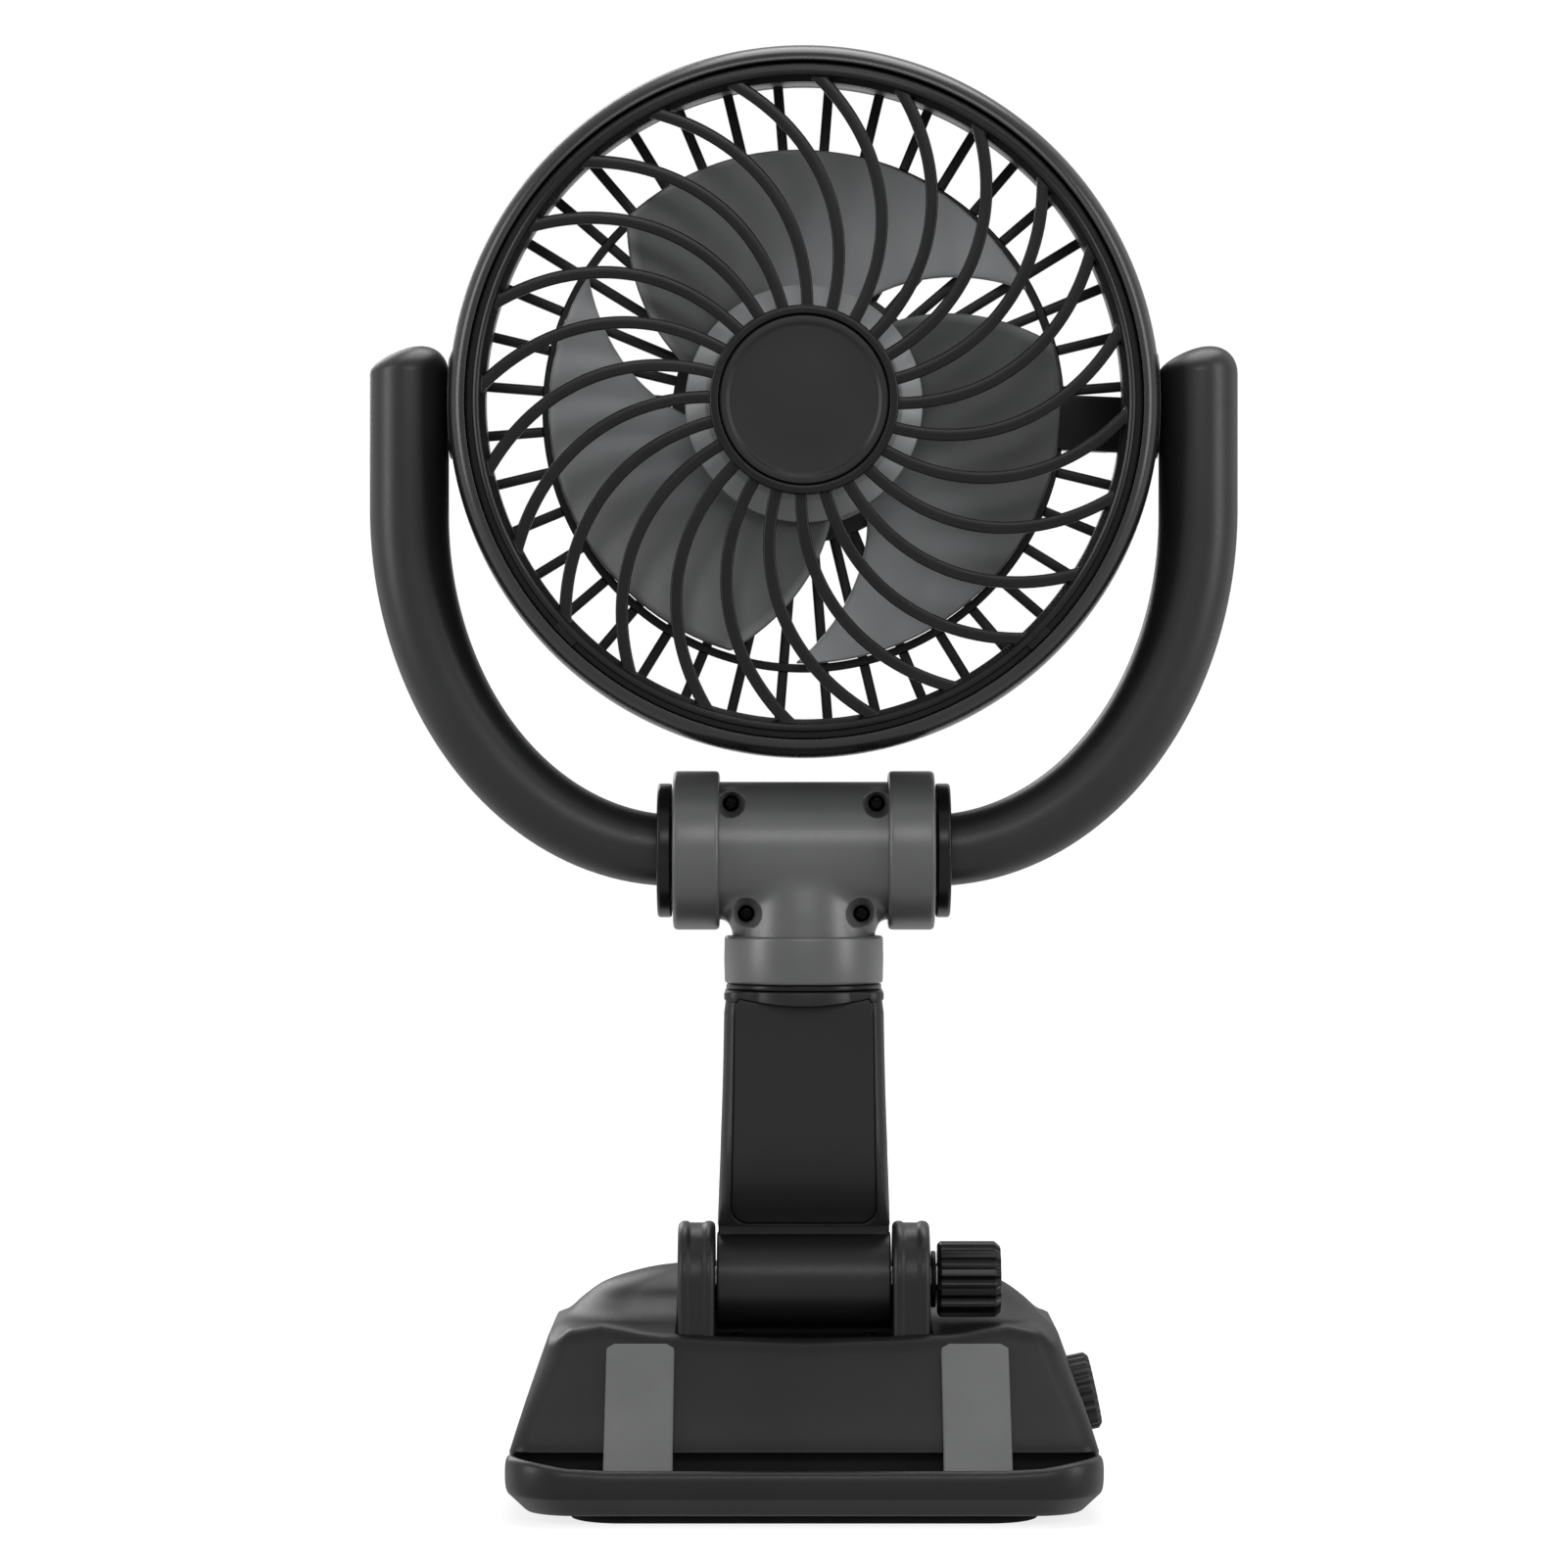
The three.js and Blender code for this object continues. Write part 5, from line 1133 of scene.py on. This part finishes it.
endCap = [(0, -24.8), (5.0, -24.8, 0.3), (5.4, -24.4, 0.3), (5.4, -23.6, 0.1), (0, -23.6)]
knobWasher = [(2.8, 25.1, 0.1), (5.6, 25.1, 0.2), (5.6, 26.0, 0.25), (2.8, 26.0, 0.2)]
knob = {
    "outline": [(0, 26.3), (6.9, 26.3, 0.5), (7.5, 27.0, 0.4), (7.5, 37.6, 0.6), (6.5, 38.8, 0.7),
                (4.2, 38.8, 0.4), (3.8, 38.35, 0.4), (0, 38.35)],
    "flutes": {"count": 12, "depth": 1.15, "width": 0.62, "outer": 7.5},
}


def fluted(count, depth, width, outer, core=0.75, rise=8):
    # Round grooves, as wide as a share of the pitch, that run out towards the core
    def wave(radius, angle):
        if radius < outer * core:
            return radius
        pitch = 2 * pi / count
        offset = abs((angle + pitch / 2) % pitch - pitch / 2) / (pitch / 2) / width
        share = sqrt(max(0.0, 1 - offset ** 2))
        return radius - depth * share * min(1.0, (radius / outer - core) * rise)

    return wave


def makeKnob():
    grip = turned("clampKnob", knob["outline"], "X", 288, hingeMiddle, 40, fluted(**knob["flutes"]))
    settle(grip, "darkGlossPlastic", "knob", "clamp_knob")
    settleTurned("hingeCap", endCap, "X", 72, hingeMiddle, "blackPlastic", "base", "hinge_end_cap")
    settleTurned("hingeWasher", knobWasher, "X", 72, hingeMiddle, "blackedSteel", "base", "hinge_washer")


makeBracket()
makeKnob()
print("hinge made")


# Console: pad, tray with ledge and lip, domed shell, two strips, dial and power inlet

console = {
    "halfWidth": 57.0, "back": 43.6, "corner": 11.0, "rimCorner": 6.0, "slopeCorner": 4.0, "levels": 72,
    "ringSteps": (12, 22), "wallShare": 0.997, "leastCorner": 1.5,
    "slopeFoot": (-29.9, 13.9), "slopeHead": (-12.7, 33.5), "crest": (24.0, 45.0),
    # inset, height
    "wallRows": [(1.0, 8.7), (1.0, 10.3), (0.9, 11.7), (0.35, 12.8)],
    # share of the way up, share of the width, share of the way that the back is drawn in
    "slopeRows": [(0.0, 0.99, 0.02), (0.3, 0.96, 0.05), (0.6, 0.926, 0.12), (0.88, 0.893, 0.2),
                  (1.0, 0.877, 0.237)],
    # the same for the dome, with the share that the front is drawn in and the share of the corner
    "domeRows": [(0.06, 0.864, 0.12, 0.258, 0.72), (0.17, 0.827, 0.44, 0.305, 1.05),
                 (0.4, 0.777, 0.6, 0.39, 1.1), (0.64, 0.707, 0.694, 0.48, 0.95),
                 (0.8, 0.614, 0.774, 0.566, 0.75), (0.92, 0.5, 0.854, 0.694, 0.5),
                 (0.99, 0.316, 0.934, 0.847, 0.24)],
    # distance from the middle, how far the head of the slope is carried up the slope
    "shoulders": [(0.0, -0.9), (16.0, -0.4), (25.0, 0.1), (29.3, 0.3), (35.0, 1.5), (39.4, 2.2), (45.0, 1.3),
                  (50.0, -1.6), (58.0, -3.0)],
    "shoulderReach": 14, "slotLow": (-25.1, -11.8, 30.2), "slotHigh": (25.1, 13.9, 60),
    "wellRadius": 7.9, "wellDepth": 0.35, "inletLow": (-5.0, 38, 11.0), "inletHigh": (5.0, 50, 15.0),
}
dialLean = radians(-12)


def headShift(x, y, z, front):
    # Carries the head of the slope along the slope: a dip between the ears, a rise at the shoulders
    (footY, footZ), (headY, headZ) = console["slopeFoot"], console["slopeHead"]
    reach = console["shoulderReach"]
    near, tall = portion(y, front + reach, front), portion(z, footZ, headZ)
    fade = portion(front, headY + reach, headY)
    rise = between(console["shoulders"], abs(x)) * eased(near) * eased(tall) * fade
    return Vector((x, y + rise * (headY - footY) / (headZ - footZ), z + rise))


def consoleRows():
    # half width, front, back, corner, height
    (footY, footZ), (headY, headZ) = console["slopeFoot"], console["slopeHead"]
    crestY, crestZ = console["crest"]
    wide, back, corner = console["halfWidth"], console["back"], console["corner"]
    rows = [(wide * console["wallShare"], footY + inset, back, console["rimCorner"], height)
            for inset, height in console["wallRows"]]
    for along, width, tuck in console["slopeRows"]:
        rows.append((wide * width, mix(footY, headY, along), mix(back, crestY, tuck),
                     mix(console["slopeCorner"], corner * 0.6, along ** 2), mix(footZ, headZ, along)))
    for along, width, front, tuck, round in console["domeRows"]:
        rows.append((wide * width, mix(headY, crestY, front), mix(back, crestY, tuck), corner * round,
                     mix(headZ, crestZ, along)))
    return rows


def atDial(piece):
    moved(piece, Matrix.Rotation(dialLean, 4, "Y"))
    return shifted(piece, *jointPlace["speed_dial_turn"])


def makeConsole():
    rings = []
    for halfWidth, front, back, corner, height in smoothTable(consoleRows(), console["levels"]):
        ring = levelRing(halfWidth, front, back, max(corner, console["leastCorner"]), height,
                         *console["ringSteps"])
        rings.append([headShift(*point, front) for point in ring])
    shell = loft("consoleShell", rings, 24)
    slot = block("slot", console["slotLow"], console["slotHigh"], 0.0, 1.2, "Z")
    well = atDial(rod("well", console["wellRadius"], -console["wellDepth"], 9, "X", 96))
    hole = block("inlet", console["inletLow"], console["inletHigh"], 0.0, 1.3)
    carve(shell, remove=[slot, well, hole], angle=30)
    # the console takes the darker copy of the black plastic, painted shade on its upward faces
    settle(shell, "consolePlasticPaintedDarker", "base", "base_shell")


tray = {
    "halfWidth": 57.5, "front": -40.0, "back": 44.0, "corner": 12.0,
    # inset, height, up the side and over the lip
    "profile": [(5.6, 1.8), (4.6, 1.82), (3.9, 2.1), (2.3, 3.7), (0.9, 5.1), (0.5, 5.55), (0.2, 6.4),
                (0.03, 7.4), (0.0, 8.6), (0.06, 9.4), (0.3, 10.15), (0.8, 10.65), (1.4, 10.85)],
    "inner": [(2.05, 10.65), (2.4, 10.2), (2.5, 9.7)],
    "ledge": 8.4, "lip": 2.5, "lift": 1.7, "liftAcross": (40, 56), "liftUp": (6.5, 10), "ringSteps": (14, 12),
    "cutLow": (-70, -23.4, 8.4), "cutHigh": (70, 60, 20), "shellGap": 0.3,
    "screws": [(-40, -19, 3.6), (-40, 30, 3.6), (40, -19, 3.6), (40, 30, 3.6)],
}


def trayRing(inset, height):
    return levelRing(tray["halfWidth"] - inset, tray["front"] + inset, tray["back"] - inset,
                     tray["corner"] - inset * 0.6, height, *tray["ringSteps"])


def lipLift(x, y, z):
    # The lip rises round the front corners to meet the sides of the shell
    out, tall = portion(abs(x), *tray["liftAcross"]), portion(z, *tray["liftUp"])
    return Vector((x, y, z + tray["lift"] * eased(out) * tall))


def makeTray():
    rows = smoothTable(tray["profile"], 48) + tray["inner"]
    rings = [[lipLift(*point) for point in trayRing(inset, height)] for inset, height in rows]
    whole = loft("trayPiece", [*rings, trayRing(tray["lip"], tray["ledge"])], 40)
    cutter = block("cutter", tray["cutLow"], tray["cutHigh"], 0, 0)
    gap = tray["shellGap"]
    footing = levelRing(console["halfWidth"] + gap, console["slopeFoot"][0] - gap, tray["cutHigh"][1],
                        console["rimCorner"] + gap, 0, 12, 2)
    hollow = pushed("room", [(x, y) for x, y, _ in footing], (tray["ledge"], tray["cutHigh"][2]), "Z")
    carve(whole, remove=[cutter, hollow], angle=36)
    settle(whole, "blackPlastic", "base", "base_tray")


padSize = {"halfWidth": 45, "front": -33, "back": 37, "corner": 10, "thickness": 1.5}


def makePad():
    ring = levelRing(padSize["halfWidth"], padSize["front"], padSize["back"], padSize["corner"], 0, 12, 2)
    pad = pushed("footPad", [(x, y) for x, y, _ in ring], (0.0, padSize["thickness"]), "Z", 0.35, 2)
    settle(pad, "padRubber", "base", "foot_pad")


strips = {"left": (-38.42, -25.19), "right": (26.62, 39.73), "thickness": 1.4, "gap": 0.3, "foot": 8.7,
          "corner": 1.5, "head": 0.9, "edge": 0.35, "start": 0.02, "wallSteps": 10, "slopeSteps": 24}


def stripPath():
    # Inner and outer points of the strip from the ledge up the slope
    foot, head = Vector(console["slopeFoot"]), Vector(console["slopeHead"])
    slope = head - foot
    outward = Vector((-slope.y, slope.x)).normalized()
    skin = strips["gap"] + strips["thickness"]
    path = []
    for step in range(strips["wallSteps"]):
        height = mix(strips["foot"], foot.y, step / strips["wallSteps"])
        path.append((Vector((foot.x - strips["gap"], height)),
                     foot + slope * ((height - foot.y) / slope.y) + outward * skin))
    for step in range(strips["slopeSteps"] + 1):
        place = foot + slope * mix(strips["start"], strips["head"], step / strips["slopeSteps"])
        path.append((place + outward * strips["gap"], place + outward * skin))
    return path


def makeStrip(name, span, node):
    path = stripPath()
    lengths = [0.0]
    for (_, before), (_, after) in zip(path, path[1:]):
        lengths.append(lengths[-1] + (after - before).length)
    middle, half = sum(span) / 2, (span[1] - span[0]) / 2

    def spot(side, along, across):
        index = round(along * (len(path) - 1))
        trim = cornerTrim(strips["corner"], lengths[-1] - lengths[index])
        y, z = path[index][side]
        return middle + (half - trim) * (2 * across - 1), y, z

    strip = softenRims(slab(name, len(path), 17, spot, 40), strips["edge"], 2, 50, 30)
    settle(strip, "stripRubber", "base", node)


dialShape = {
    "outline": [(0, 0.0), (7.6, 0.0, 0.2), (7.6, 4.6, 0.4), (6.7, 5.4, 0.5), (5.2, 5.4, 0.3), (4.9, 5.1, 0.3),
                (0, 5.0)],
    "grips": {"count": 24, "depth": 0.45, "width": 0.7, "outer": 7.6},
}


def makeDial():
    wheel = turned("speedDial", dialShape["outline"], "X", 288, (0, 0, 0), 40, fluted(**dialShape["grips"]))
    settle(atDial(wheel), "blackPlastic", "dial", "speed_dial")


inlet = {"half": 4.5, "low": 11.45, "high": 14.6, "depth": (36.0, 43.4), "wall": 0.35, "corner": 1.5,
         "tongue": (3.1, 0.35)}


def makeInlet():
    def shape(inset):
        half, low, high = inlet["half"] - inset, inlet["low"] + inset, inlet["high"] - inset
        return boxOutline((-half, low), (half, high), inlet["corner"] - inset)

    near, far = inlet["depth"]
    case = pushed("powerInlet", shape(0), (near, far), "Y", 0.12, 2)
    carve(case, remove=[pushed("hollow", shape(inlet["wall"]), (near + 1, far + 2))])
    reach, thick = inlet["tongue"]
    middle = (inlet["low"] + inlet["high"]) / 2
    low, high = (-reach, near + 0.5, middle - thick), (reach, far - 1.2, middle + thick)
    tongue = block("tongue", low, high, 0.1, 0.2)
    settle(merged("powerInletWhole", [case, tongue]), "steel", "base", "usb_socket")


makeConsole()
makeTray()
makePad()
makeStrip("stripLeft", strips["left"], "phone_strip_left")
makeStrip("stripRight", strips["right"], "phone_strip_right")
makeDial()
makeInlet()
print("console made")


# Screws, one source screw set on points by the tree

screwShape = {
    # the seat lies at zero, the head stands towards +Z
    "outline": [(0, -6.0), (1.1, -6.0, 0.3), (1.1, 0.0, 0.1), (2.0, 0.0, 0.15), (2.0, 0.75, 0.4),
                (1.35, 1.4, 0.5), (0, 1.5)],
    "crossWidth": 0.62, "crossReach": 1.15, "crossFloor": 0.5, "crossTop": 3,
}


def makeScrewSource():
    reach, half = screwShape["crossReach"], screwShape["crossWidth"] / 2
    bars = [block("bar", (-x, -y, screwShape["crossFloor"]), (x, y, screwShape["crossTop"]), 0, 0, "Z")
            for x, y in ((reach, half), (half, reach))]
    return carve(turned("screwSource", screwShape["outline"], "Z", 40), remove=bars)


def setScrews(name, source, places, facing, body, node, size=1.0):
    # A set of several screws stands for numbered solids
    values = {"Screw": source, "Facing": facing, "Size": size, "Seed": 4,
              "Material": finishes["blackedSteel"]}
    nodes = [f"{node}_{number}" for number in range(1, len(places) + 1)] if len(places) > 1 else [node]
    settle(grown(name, screwSet, values, places), "blackedSteel", body, *nodes)


def makeScrews():
    source = makeScrewSource()
    forward, backward, down = (pi / 2, 0, 0), (-pi / 2, 0, 0), (pi, 0, 0)
    teeSpots = [(side * screw["x"], -screw["seat"], teeZ + screw["z"]) for screw, side in teeScrews]
    armSpots = [(0, arm["screwSeat"], hingeZ + arm["screwHeight"])]
    setScrews("teeScrews", source, teeSpots, forward, "tee", "tee_screw", tee["screwSize"])
    setScrews("yokeScrews", source, yoke["screws"], backward, "yoke", "yoke_screw")
    setScrews("armScrew", source, armSpots, backward, "arm", "arm_screw")
    setScrews("caseScrews", source, tray["screws"], down, "base", "case_screw")
    discard([source])


makeScrews()
print("screws set")


# Inner solids keep their shape and get the finish of their slot

slotFinish = {"black_plastic": "blackPlastic", "pad_rubber": "padRubber", "steel": "steel", "ferrite": "ferrite",
              "copper": "copperWire", "bronze": "bronze", "board": "boardLacquer"}


def dressSolids():
    dressed = 0
    for name, solid in frame["nodes"].items():
        if solid.hide_render:
            continue
        isDark = "screw" in name or "pivot_pin" in name
        finish = finishes["blackedSteel" if isDark else slotFinish[nodeSlot[name]]]
        if not solid.data.materials:
            solid.data.materials.append(finish)
        for index in range(len(solid.data.materials)):
            solid.data.materials[index] = finish
        dressed += 1
    print("inner solids dressed:", dressed)


dressSolids()
